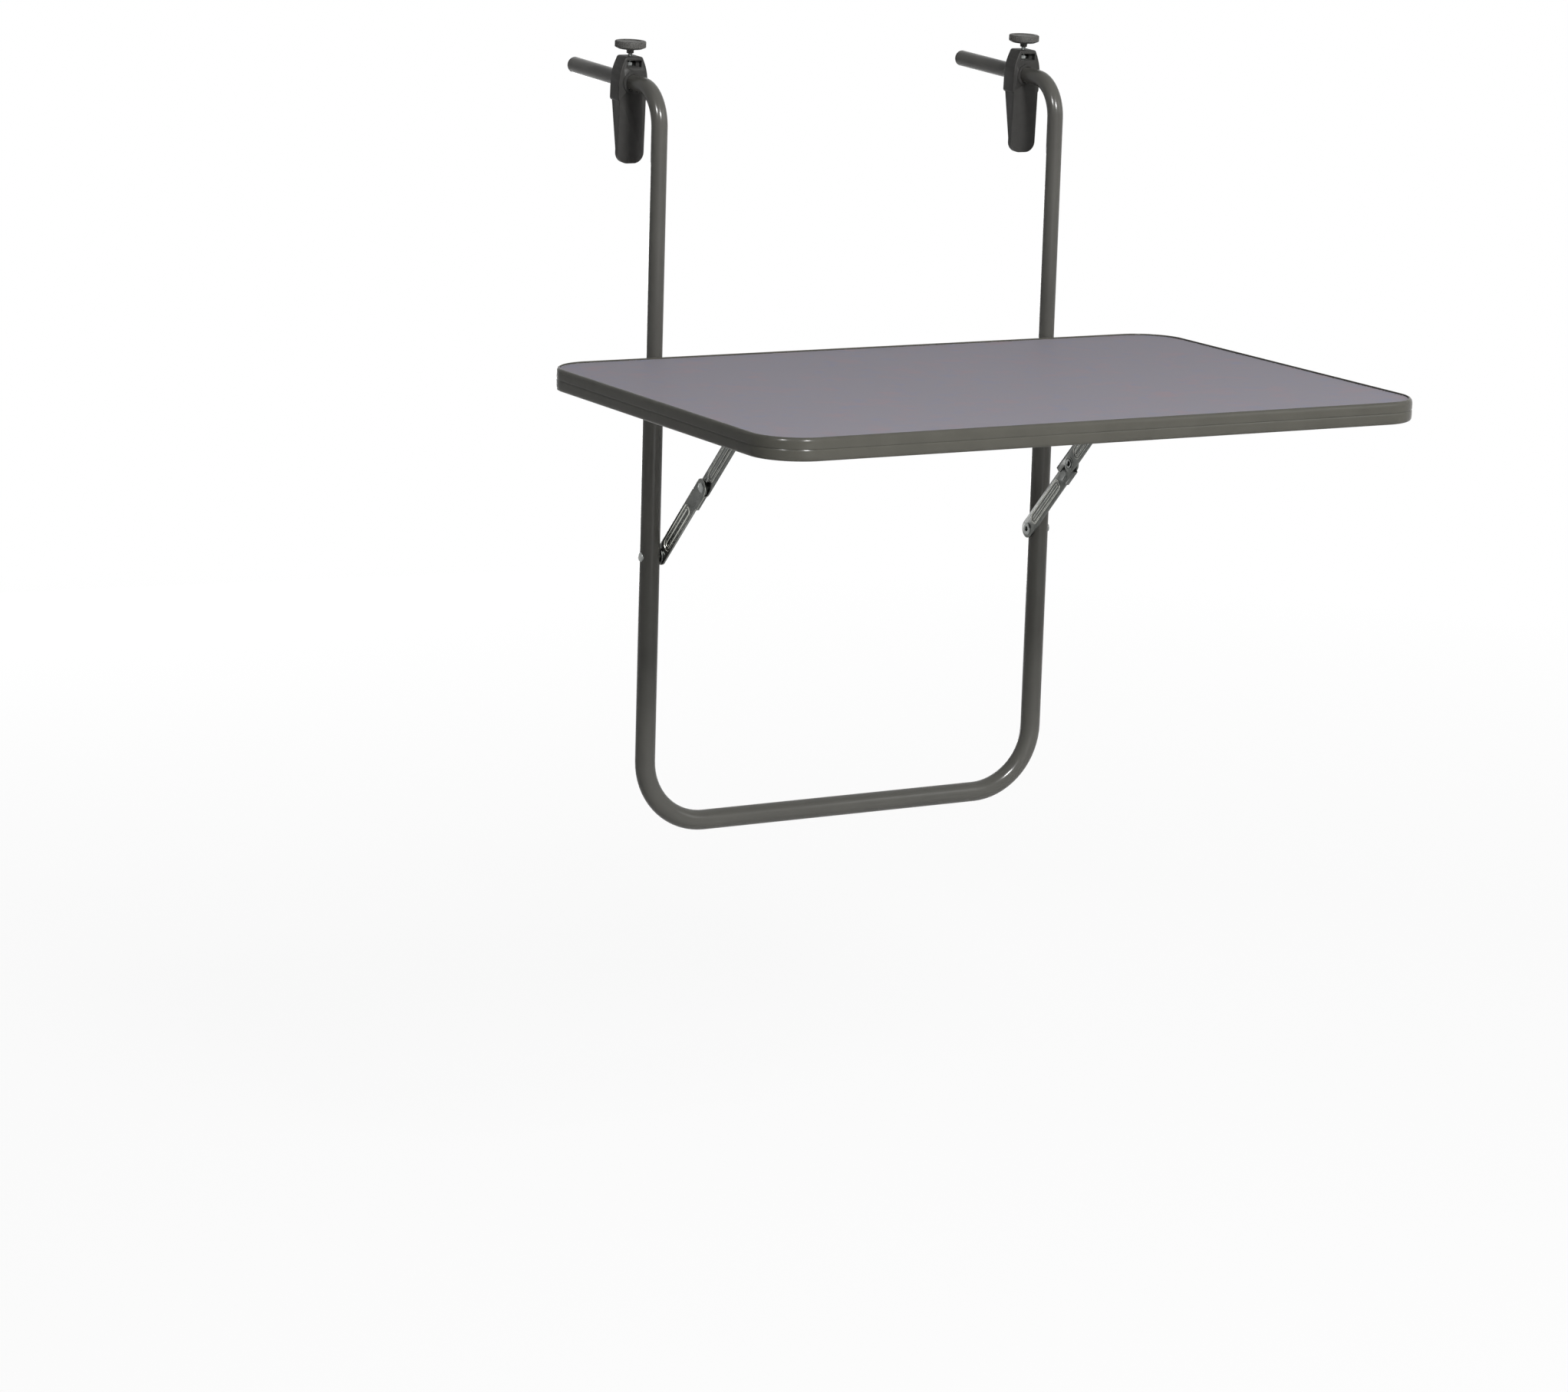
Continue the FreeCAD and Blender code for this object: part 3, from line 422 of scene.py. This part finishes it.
def turn(name, rings, sides):
    # a turned piece: a circle drawn out and sized from ring to ring, each (height, radius) in mm.
    # A radius of 0 ends in a pole, and rings that come back to the first one make a hoop
    deselect()
    height, radius = rings[0]
    bpy.ops.mesh.primitive_circle_add(vertices=sides, radius=radius * mm, location=(0, 0, 0))
    piece = bpy.context.object
    piece.name = name
    bpy.ops.object.mode_set(mode="EDIT")
    bpy.ops.transform.translate(value=(0, 0, height * mm))
    for level, wide in rings[1:]:
        raiseRing((level - height) * mm, wide / radius if wide else 1, (0, 0, level * mm))
        if wide:
            radius = wide
        else:
            bpy.ops.mesh.merge(type="CENTER")
        height = level
    if rings[0] != rings[-1]:
        bpy.ops.mesh.select_all(action="DESELECT")
        bpy.ops.mesh.select_non_manifold(use_wire=False, use_boundary=True, use_multi_face=False,
                                         use_non_contiguous=False, use_verts=False)
        capRing()
    close(piece)
    return piece


def copyOf(piece, name, move):
    # a copy with its own mesh, moved or turned by a matrix
    other = piece.copy()
    other.data = piece.data.copy()
    other.name = name
    other.data.transform(move)
    bpy.context.scene.collection.objects.link(other)
    return other


def swap(piece, node, finish=None):
    # the piece stands for a CAD node, with its body and its finish
    if not piece.data.materials:
        piece.data.materials.append(finish or finishes[slotOf[node]])
    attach(piece, body_of(frame["nodes"][node])[0])
    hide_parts(node)


def pair(piece, family, node, spotOf, finish=None):
    # one upright piece becomes the left (-1) and the right (1) one, each with its node
    other = copyOf(piece, family + "Right", spotOf(1))
    piece.name = family + "Left"
    piece.data.transform(spotOf(-1))
    swap(piece, node + "_left", finish)
    swap(other, node + "_right", finish)


# angles in degrees: flat joins triangles, sharp edges are rounded, smooth is the shading's limit

rounding = {
    "flat": 0.3,
    "sharp": 38,
    "ridgeSharp": 30,
    "smooth": 32,
    "segments": 2,
    "ridgeSegments": 3,
    "sliver": 0.000005,   # metres
}


def editSharp(piece, wanted):
    # opens a piece for editing, with the sharp edges selected whose two ends pass a test
    activate(piece)
    facing = {}
    for face in piece.data.polygons:
        for key in face.edge_keys:
            facing.setdefault(key, []).append(face.normal)
    clearMarks(piece)
    sharp = math.radians(rounding["ridgeSharp"])
    for line in piece.data.edges:
        beside = facing[line.key]
        bent = len(beside) == 2 and beside[0].angle(beside[1]) > sharp
        line.select = bent and all(wanted(piece.data.vertices[i].co) for i in line.vertices)
    bpy.context.tool_settings.mesh_select_mode = (False, True, False)
    bpy.ops.object.mode_set(mode="EDIT")


def soften(node, width, ridges, ridgeWidth):
    # a copy of a CAD node with its triangles merged and its sharp edges rounded, the rounded faces
    # in a lighter finish as a painted highlight
    piece = bpy.data.objects.new("soft_" + node, frame["nodes"][node].data.copy())
    bpy.context.scene.collection.objects.link(piece)
    piece.data.materials.append(paintedHighlightFinishes[slotOf[node]])
    edit(piece, lambda place: True)
    bpy.ops.mesh.remove_doubles(threshold=2 * weld)
    bpy.ops.mesh.dissolve_limited(angle_limit=math.radians(rounding["flat"]))
    bpy.ops.object.mode_set(mode="OBJECT")
    # ridge rims are rounded too, and take the painted highlight finish
    if ridges:
        editSharp(piece, ridges)
        bpy.ops.mesh.bevel(offset=ridgeWidth * mm, segments=rounding["ridgeSegments"],
                           affect="EDGES", clamp_overlap=True, material=1)
    applyModifier(piece, "BEVEL", width=width * mm, segments=rounding["segments"],
                  limit_method="ANGLE", angle_limit=math.radians(rounding["sharp"]),
                  use_clamp_overlap=True, material=1)
    edit(piece, lambda place: True)
    bpy.ops.mesh.dissolve_degenerate(threshold=rounding["sliver"])
    bpy.ops.object.mode_set(mode="OBJECT")
    bpy.ops.object.shade_smooth_by_angle(angle=math.radians(rounding["smooth"]))
    swap(piece, node)


# pivots of the stays, as (y, z) in metres

pivots = {
    "foot": (-0.0085, -0.3868),
    "knee": (-0.0775, -0.3178),
    "head": (-0.1465, -0.2488),
}

# pressed and moulded pieces: the frame's shapes with their edges rounded and lit up by a painted
# highlight, widths in mm

softEdges = {
    "clamp_body": 0.5,
    "hinge_bracket": 0.35,
    "stay_top_bracket": 0.35,
    "stay_lower_link": 0.2,
    "stay_upper_link": 0.2,
}
ridge = {
    "halfWidth": 5.4,
    "width": 0.45,
    "length": 97.6,
    "pivotGap": 9,
    "tolerance": 0.02,
    "levels": {
        "stay_lower_link": (177.9, 180.0),
        "stay_upper_link": (177.2, 175.1),
    },
}


def onRidge(family):
    # true for the rims of the pressed racetrack and of the grooves behind it
    def test(place):
        forth, up = place.y - pivots["foot"][0], place.z - pivots["foot"][1]
        across = (forth + up) / math.sqrt(2) / mm
        along = (up - forth) / math.sqrt(2) / mm
        away = min(along % ridge["length"], ridge["length"] - along % ridge["length"])
        offLevel = min(abs(abs(place.x) / mm - level) for level in ridge["levels"][family])
        return (abs(across) < ridge["halfWidth"] and away > ridge["pivotGap"]
                and offLevel < ridge["tolerance"])
    return test


for side in ("left", "right"):
    for family, width in softEdges.items():
        ridges = onRidge(family) if family in ridge["levels"] else None
        soften(f"{family}_{side}", width, ridges, ridge["width"])
print("pressed and moulded pieces rounded")


# clamps: their turned pieces stand on the arms, which lean back. Places in metres

clampPlace = {
    "x": 0.190,
    "setback": 0.0485,
    "armEnd": 0.1485,
    "lean": 2.5,
}
lean = math.radians(clampPlace["lean"])
armAxis = Vector((0, math.cos(lean), math.sin(lean)))


def onArm(side, distance, turned=0.0):
    # from upright at the origin to a place on an arm; a quarter turn lays a piece along the arm
    spot = armAxis * distance + Vector((side * clampPlace["x"], 0, 0))
    return Matrix.Translation(spot) @ Matrix.Rotation(lean + math.radians(turned), 4, "X")


def inClamp(side):
    return onArm(side, clampPlace["setback"])


knob = {
    "rings": [
        (23.2, 2.0), (23.2, 2.8), (23.5, 3.0), (25.2, 3.0), (25.9, 3.4), (26.5, 4.1), (26.8, 5.0),
        (26.8, 9.7), (26.95, 10.0), (28.2, 12.75), (28.5, 13.0), (32.5, 13.0), (32.8, 12.9),
        (33.15, 12.6), (33.35, 12.2), (33.4, 11.8), (33.4, 9.3), (33.3, 9.05), (32.9, 8.7),
        (32.9, 0),
    ],
    "points": 240,
    "radius": 13.0,
    "flutes": 48,
    "fluteLow": 27.5,
    "fluteHigh": 33.0,
    "fluteInside": 11.5,
    "fluteDepth": 0.55,
}


def makeKnobs():
    piece = turn("knob", knob["rings"], knob["points"])
    perFlute = knob["points"] // knob["flutes"]

    def inFlute(place):
        column = math.atan2(place.y, place.x) / (2 * math.pi) * knob["points"]
        return (round(column) % perFlute == 0
                and math.hypot(place.x, place.y) > knob["fluteInside"] * mm
                and knob["fluteLow"] * mm < place.z < knob["fluteHigh"] * mm)

    edit(piece, inFlute)
    ratio = 1 - knob["fluteDepth"] / knob["radius"]
    bpy.ops.transform.resize(value=(ratio, ratio, 1), center_override=(0, 0, 0))
    deselect()
    pair(piece, "knob", "clamp_knob", inClamp, knobFinish)


makeKnobs()

thread = {
    "major": 2.0,
    "minor": 1.66,
    "pitch": 0.7,
    "flank": 0.26,    # flank, crest, flank and root make one pitch
    "crest": 0.12,
    "root": 0.06,
    "low": 7.05,
    "high": 30.5,
    "runIn": 0.5,
    "turns": 35,
    "steps": 24,
    "tip": 1.2,
    "point": 0.8,
    "smooth": 35,
}


def makeScrews():
    # one tooth's profile, wound up by a screw modifier and cut level at both ends
    deselect()
    bpy.ops.mesh.primitive_plane_add(size=mm, location=(0, 0, 0))
    piece = bpy.context.object
    bpy.ops.object.mode_set(mode="EDIT")
    bpy.ops.mesh.merge(type="CENTER")
    bpy.ops.transform.translate(
        value=(thread["minor"] * mm, 0, (thread["low"] - thread["runIn"]) * mm))
    depth = thread["major"] - thread["minor"]
    tooth = ((depth, thread["flank"]), (0, thread["crest"]), (-depth, thread["flank"]),
             (0, thread["root"]))
    for out, up in tooth:
        bpy.ops.mesh.extrude_region_move(TRANSFORM_OT_translate={"value": (out * mm, 0, up * mm)})
    bpy.ops.object.mode_set(mode="OBJECT")
    applyModifier(piece, "SCREW", axis="Z", angle=2 * math.pi, screw_offset=thread["pitch"] * mm,
                  iterations=thread["turns"], steps=thread["steps"], render_steps=thread["steps"],
                  use_merge_vertices=True)
    ends = ((thread["low"] + thread["point"], False), (thread["high"], True))
    for level, upper in ends:
        edit(piece, lambda place: True)
        bpy.ops.mesh.remove_doubles(threshold=2 * weld)
        bpy.ops.mesh.bisect(plane_co=(0, 0, level * mm), plane_no=(0, 0, 1),
                            clear_outer=upper, clear_inner=not upper, threshold=weld)
    # the lower end goes on to a blunt point, and both are closed
    for level, upper in ends:
        edit(piece, lambda place: abs(place.z - level * mm) < 2 * weld)
        if not upper:
            raiseRing(-thread["point"] * mm, thread["tip"] / thread["minor"],
                      (0, 0, thread["low"] * mm))
        capRing()
    close(piece, thread["smooth"])
    pair(piece, "thumbscrew", "clamp_screw", inClamp, rivetFinish)


makeScrews()

nut = {
    "rings": [
        (13.25, 2.1), (13.15, 2.3), (13.15, 3.3), (13.3, 3.5), (16.15, 3.5), (16.35, 3.3),
        (16.35, 2.3), (16.25, 2.1), (13.25, 2.1),
    ],
    "points": 36,
    "radius": 3.5,
    "inside": 3.4,
    "chamfers": ((13.3, 1), (16.15, -1)),   # height, and which way a corner's chamfer runs
    "slope": 0.577,
    "near": 0.05,
}


def makeNuts():
    # a turned blank whose widest rings are pulled out to six corners, which leaves the chamfer
    piece = turn("nut", nut["rings"], nut["points"])
    for offCorner in range(0, 30, 360 // nut["points"]):
        for level, lift in nut["chamfers"]:
            def chosen(place):
                # a corner every 60 degrees, the first one straight up
                around = math.degrees(math.atan2(place.y, place.x)) - 90
                fromCorner = abs((around + 30) % 60 - 30)
                return (abs(fromCorner - offCorner) < 1
                        and abs(place.z - level * mm) < nut["near"] * mm
                        and math.hypot(place.x, place.y) > nut["inside"] * mm)
            edit(piece, chosen)
            ratio = 1 / math.cos(math.radians(30 - offCorner))
            rise = lift * (ratio - 1) * nut["radius"] * nut["slope"] * mm
            bpy.ops.transform.resize(value=(ratio, ratio, 1), center_override=(0, 0, 0))
            bpy.ops.transform.translate(value=(0, 0, rise))
    close(piece)
    pair(piece, "nut", "clamp_nut", inClamp, rivetFinish)


makeNuts()

cap = {
    "rings": [
        (-14, 3.8), (-12.6, 5.2), (0, 5.2), (0, 6.72), (1.6, 6.74), (2.3, 6.6), (2.9, 6.2),
        (3.3, 5.6), (3.5, 4.8), (3.5, 0),
    ],
    "points": 48,
}


def makeCaps():
    piece = turn("endCap", cap["rings"], cap["points"])
    pair(piece, "endCap", "end_cap", lambda side: onArm(side, clampPlace["armEnd"], -90))


makeCaps()
print("thumbscrews, nuts and end caps made")


# rivets, rings and washers of the stays: each with its pivot, and rings whose heights are
# distances outwards from the table's middle, in mm

turnedParts = {
    "stay_leg_rivet": ("foot", [
        (180.3, 2.2), (180.5, 2.5), (197.2, 2.5), (197.2, 3.9), (198.6, 4.0), (198.9, 3.85),
        (199.25, 3.3), (199.5, 2.5), (199.65, 1.5), (199.7, 0.6), (199.7, 0),
    ]),
    "stay_leg_washer": ("foot", [
        (180.3, 2.55), (180.3, 5.8), (180.5, 6.0), (181.3, 6.0), (181.5, 5.8), (181.5, 2.55),
        (180.3, 2.55),
    ]),
    "stay_pivot_ring": ("foot", [
        (180.0, 2.2), (178.1, 2.2), (177.75, 2.45), (177.55, 2.9), (177.5, 3.4), (177.55, 4.3),
        (177.8, 4.9), (178.2, 5.2), (178.5, 5.2), (178.5, 2.5), (180.0, 2.5), (180.0, 2.2),
    ]),
    "stay_knee_rivet": ("knee", [
        (178.0, 2.2), (175.0, 2.2), (174.6, 2.5), (174.2, 3.0), (174.1, 3.4), (174.2, 3.7),
        (174.6, 3.8), (175.1, 3.8), (175.1, 2.5), (180.0, 2.5), (180.0, 4.3), (180.15, 4.4),
        (180.4, 4.2), (180.65, 3.6), (180.85, 2.7), (180.96, 1.7), (181.0, 0.7), (181.0, 0),
    ]),
    "stay_knee_spacer": ("knee", [
        (176.6, 2.55), (176.6, 4.5), (178.5, 4.5), (178.5, 2.55), (176.6, 2.55),
    ]),
    "stay_top_rivet": ("head", [
        (171.7, 2.2), (171.7, 3.4), (171.8, 3.9), (172.1, 4.35), (172.4, 4.5), (172.7, 4.5),
        (172.7, 2.5), (176.6, 2.5), (176.6, 4.4), (176.7, 4.5), (177.0, 4.45), (177.15, 4.1),
        (177.2, 3.2), (177.2, 0),
    ]),
}
turnedPoints = 44


def makeTurned(family, pivot, rings):
    def onPivot(side):
        # lays an upright piece along X, its top outwards
        spot = Vector((0, *pivots[pivot]))
        return Matrix.Translation(spot) @ Matrix.Rotation(side * math.pi / 2, 4, "Y")

    pair(turn(family, rings, turnedPoints), family, family, onPivot, rivetFinish)


for family, (pivot, rings) in turnedParts.items():
    makeTurned(family, pivot, rings)
print("stay rivets, rings and washers made")


# hinge rivets lie along X at the legs, their two heads are alike. Places in metres, rings in mm

hingeRivet = {
    "x": 0.190,
    "place": (-0.0085, -0.2488),
    "rings": [
        (-12.1, 1.2), (-12.05, 2.4), (-11.8, 3.6), (-11.45, 4.3), (-11.1, 4.5), (-10.9, 4.45),
        (-10.9, 2.5), (10.9, 2.5), (10.9, 4.45), (11.1, 4.5), (11.45, 4.3), (11.8, 3.6),
        (12.05, 2.4), (12.1, 1.2), (12.1, 0),
    ],
    "points": 40,
}


def throughLeg(side):
    spot = (side * hingeRivet["x"], *hingeRivet["place"])
    return Matrix.Translation(spot) @ Matrix.Rotation(math.pi / 2, 4, "Y")


pair(turn("hingeRivet", hingeRivet["rings"], hingeRivet["points"]),
     "hingeRivet", "hinge_rivet", throughLeg)

# wood screws: pan heads under the plates, with a cross for the driver. Places in metres

woodScrew = {
    "plateLow": -0.2378,
    "rings": [
        (8.7, 0.3), (6.7, 1.6), (4.0, 1.75), (0.0, 1.75), (0.0, 3.45), (-0.4, 3.5), (-1.1, 3.3),
        (-1.6, 2.8), (-1.9, 2.1), (-2.0, 1.2), (-2.0, 0),
    ],
    "points": 32,
    "headTop": -2.0,
    "slotLength": 3.4,
    "slotWidth": 0.8,
    "slotDepth": 1.2,
    "slotTaper": (0.55, 0.8, 1),
    "smooth": 35,
    "hinge": [(x, y) for x in (0.169, 0.211) for y in (-0.0405, -0.0265)],
    "stay": [(0.1607, -0.1535), (0.1607, -0.1395)],
    "turnStep": 0.7,   # radians from one screw to the next
}


def makeWoodScrews():
    piece = turn("woodScrew", woodScrew["rings"], woodScrew["points"])
    for quarter in (0, 1):
        deselect()
        bpy.ops.mesh.primitive_cube_add(size=1, location=(0, 0, 0))
        cutter = bpy.context.object
        bpy.ops.object.mode_set(mode="EDIT")
        bpy.ops.transform.resize(value=(woodScrew["slotLength"] * mm, woodScrew["slotWidth"] * mm,
                                        2 * woodScrew["slotDepth"] * mm))
        bpy.ops.object.mode_set(mode="OBJECT")
        edit(cutter, lambda place: place.z > 0)   # narrower towards its floor
        bpy.ops.transform.resize(value=woodScrew["slotTaper"], center_override=(0, 0, 0))
        deselect()
        cutter.data.transform(Matrix.Translation((0, 0, woodScrew["headTop"] * mm))
                              @ Matrix.Rotation(quarter * math.pi / 2, 4, "Z"))
        applyModifier(piece, "BOOLEAN", operation="DIFFERENCE", solver="EXACT", object=cutter)
        bpy.data.objects.remove(cutter)
    close(piece, woodScrew["smooth"])
    for side, sign in (("left", -1), ("right", 1)):
        for family, node in (("hinge", "hinge_screws_"), ("stay", "stay_bracket_screws_")):
            group = []
            for i, (x, y) in enumerate(woodScrew[family]):
                angle = Matrix.Rotation(woodScrew["turnStep"] * (i + 1), 4, "Z")
                spot = Matrix.Translation((sign * x, y, woodScrew["plateLow"]))
                group.append(copyOf(piece, f"{family}Screws_{side}", spot @ angle))
            deselect()
            for screw in group:
                screw.select_set(True)
            bpy.context.view_layer.objects.active = group[0]
            bpy.ops.object.join()
            swap(group[0], node + side)
    bpy.data.objects.remove(piece)


makeWoodScrews()
print("hinge rivets and wood screws made")


# edge profile of the tabletop: one section run round the rounded rectangle, its two halves crowned

edgeBand = {
    "width": 600,
    "depth": 400,
    "corner": 40,
    "cornerSteps": 20,
    "smooth": 40,
    # heights above the underside and distances in from the outer face, in mm
    "rings": [
        (0, 3.2), (0, 2.4), (0.15, 1.4), (0.6, 0.7), (1.4, 0.25), (2.6, 0.05), (4.2, 0), (6.2, 0),
        (7.4, 0.03), (8.0, 0.12), (8.45, 0.26), (8.75, 0.40), (9.0, 0.50), (9.12, 0.36),
        (9.25, 0.16), (9.5, 0.05), (10.2, 0.01), (12.0, 0), (13.6, 0.03), (14.8, 0.15),
        (15.8, 0.40), (16.6, 0.78), (17.3, 1.3), (17.8, 1.95), (18.0, 2.7), (17.93, 3.05),
        (17.65, 3.2), (16.7, 3.2), (16.7, 2.2), (1.3, 2.2), (1.3, 3.2), (0, 3.2),
    ],
}


def makeEdgeBand():
    low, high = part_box("edge_trim")
    height, inset = edgeBand["rings"][0]
    deselect()
    bpy.ops.mesh.primitive_plane_add(size=1, location=(0, 0, 0))
    piece = bpy.context.object
    piece.name = "edgeBand"
    bpy.ops.object.mode_set(mode="EDIT")
    bpy.ops.transform.resize(value=((edgeBand["width"] - 2 * inset) * mm,
                                    (edgeBand["depth"] - 2 * inset) * mm, 1))
    bpy.ops.mesh.bevel(offset=(edgeBand["corner"] - inset) * mm, segments=edgeBand["cornerSteps"],
                       affect="VERTICES", clamp_overlap=False)
    bpy.ops.mesh.select_all(action="SELECT")
    bpy.ops.mesh.delete(type="ONLY_FACE")
    bpy.ops.mesh.select_all(action="SELECT")
    for level, nextInset in edgeBand["rings"][1:]:
        raiseRing((level - height) * mm)
        bpy.ops.object.mode_set(mode="OBJECT")
        ring = {point.index for point in piece.data.vertices if point.select}
        ratio = (edgeBand["corner"] - nextInset) / (edgeBand["corner"] - inset)
        for right, back in ((-1, -1), (-1, 1), (1, -1), (1, 1)):
            # each corner of the new ring is sized about its own centre
            clearMarks(piece)
            for i in ring:
                place = piece.data.vertices[i].co
                piece.data.vertices[i].select = place.x * right > 0 and place.y * back > 0
            bpy.ops.object.mode_set(mode="EDIT")
            bpy.ops.transform.resize(value=(ratio, ratio, 1), center_override=(
                right * (edgeBand["width"] / 2 - edgeBand["corner"]) * mm,
                back * (edgeBand["depth"] / 2 - edgeBand["corner"]) * mm, level * mm))
            bpy.ops.object.mode_set(mode="OBJECT")
        for line in piece.data.edges:
            line.select = all(i in ring for i in line.vertices)
        for point in piece.data.vertices:
            point.select = point.index in ring
        bpy.ops.object.mode_set(mode="EDIT")
        height, inset = level, nextInset
    close(piece, edgeBand["smooth"])
    piece.data.transform(Matrix.Translation((0, (low.y + high.y) / 2, low.z)))
    swap(piece, "edge_trim")


makeEdgeBand()
print("edge profile made")


# stage, lights and camera

studio = {
    "floorDrop": 0.42,
    "floorSize": 60,
    "floorColour": shade(0.84),
    "floorRoughness": 0.9,
    "floorGloss": 0.1,
    "floorGlow": 0.92,
    "shadowReach": (1.8, 3.4),
    "world": 0.15,
    "white": (1, 1, 1, 1),
    "lamps": {
        # azimuth from straight ahead of the table and height angle, in degrees, then distance,
        # power, size, and whether it shows in gloss only
        "frontLamp": (-6, 34, 3.2, 90, 0.55, False),
        "frontGlint": (-6, 34, 3.1, 210, 0.26, True),
        "leftGlint": (-58, 36, 3.1, 210, 0.26, True),
        "rightFill": (48, 26, 3.4, 38, 1.4, False),
        "lowFill": (-4, -14, 3.4, 30, 1.4, False),
        "backFill": (172, -12, 3.4, 42, 1.6, False),
    },
    "aim": (0, -0.18, -0.28),
}


def makeFloorFinish():
    # white to the camera, but a share of the lit floor is left round the table, with its shadow
    s = Shader("paleFloor")
    s.set(Base_Color=studio["floorColour"], Roughness=studio["floorRoughness"],
          Specular_IOR_Level=studio["floorGloss"])
    glow = s.add("ShaderNodeEmission", values={"Color": studio["white"], "Strength": 1.0})
    reach = s.add("ShaderNodeVectorMath", {"operation": "LENGTH"}, [s.place()], output="Value")
    share = (1 - studio["floorGlow"]) * (1 - reach.above(*studio["shadowReach"]))
    lit = Signal(s, s.surface.outputs[0])
    mixed = s.add("ShaderNodeMixShader", values=[s.directRays() * (1 - share), lit, glow])
    s.plug(s.nodes["Material Output"].inputs["Surface"], mixed)
    return s.owner


def makeStage():
    low = cadBox[0].z - studio["floorDrop"]
    deselect()
    bpy.ops.mesh.primitive_plane_add(size=studio["floorSize"], location=(0, 0, 0))
    floor = bpy.context.object
    floor.name = "floor"
    floor.data.transform(Matrix.Translation((0, 0, low)))
    floor.data.materials.append(makeFloorFinish())


def makeWorld():
    # white to the camera and in reflections, dim as a light
    s = Shader("studioWorld", "worlds", "Background")
    strength = s.add("ShaderNodeMapRange", values={
        "Value": s.directRays(), "To Min": studio["world"], "To Max": 1.0})
    s.set(Color=studio["white"], Strength=strength)
    bpy.context.scene.world = s.owner


def addLamp(name, azimuth, height, distance, power, size, onlyGloss):
    lamp = bpy.data.lights.new(name, "AREA")
    lamp.energy = power
    lamp.size = size
    holder = bpy.data.objects.new(name, lamp)
    bpy.context.scene.collection.objects.link(holder)
    holder.visible_diffuse = not onlyGloss
    around, up = math.radians(azimuth), math.radians(height)
    outwards = Vector((math.sin(around) * math.cos(up), -math.cos(around) * math.cos(up),
                       math.sin(up)))
    holder.location = Vector(studio["aim"]) + outwards * distance
    holder.rotation_euler = outwards.to_track_quat("Z", "Y").to_euler()


# the camera's place in metres and its angles in degrees, lens and sensor in mm

viewpoint = {
    "place": (-1.9428, -3.4084, 0.3494),
    "turn": 29.0,
    "tilt": -12.56,
    "roll": 1.692,
    "lens": 107.27,
    "sensor": 36,
}


def addCamera():
    camera = bpy.data.cameras.new("camera")
    camera.lens = viewpoint["lens"]
    camera.sensor_width = viewpoint["sensor"]
    camera.sensor_fit = "HORIZONTAL"
    holder = bpy.data.objects.new("camera", camera)
    bpy.context.scene.collection.objects.link(holder)
    bpy.context.scene.camera = holder
    turned, tilt, roll = (math.radians(viewpoint[key]) for key in ("turn", "tilt", "roll"))
    look = Vector((math.sin(turned) * math.cos(tilt), math.cos(turned) * math.cos(tilt),
                   math.sin(tilt)))
    level = Vector((math.cos(turned), -math.sin(turned), 0))
    upright = level.cross(look)
    right = level * math.cos(roll) + upright * math.sin(roll)
    up = upright * math.cos(roll) - level * math.sin(roll)
    pose = Matrix((right, up, -look)).transposed().to_4x4()
    pose.translation = viewpoint["place"]
    holder.matrix_world = pose


makeStage()
makeWorld()
for lampName, settings in studio["lamps"].items():
    addLamp(lampName, *settings)
addCamera()
bpy.context.scene.view_settings.view_transform = "Standard"
print("stage, lights and camera set")
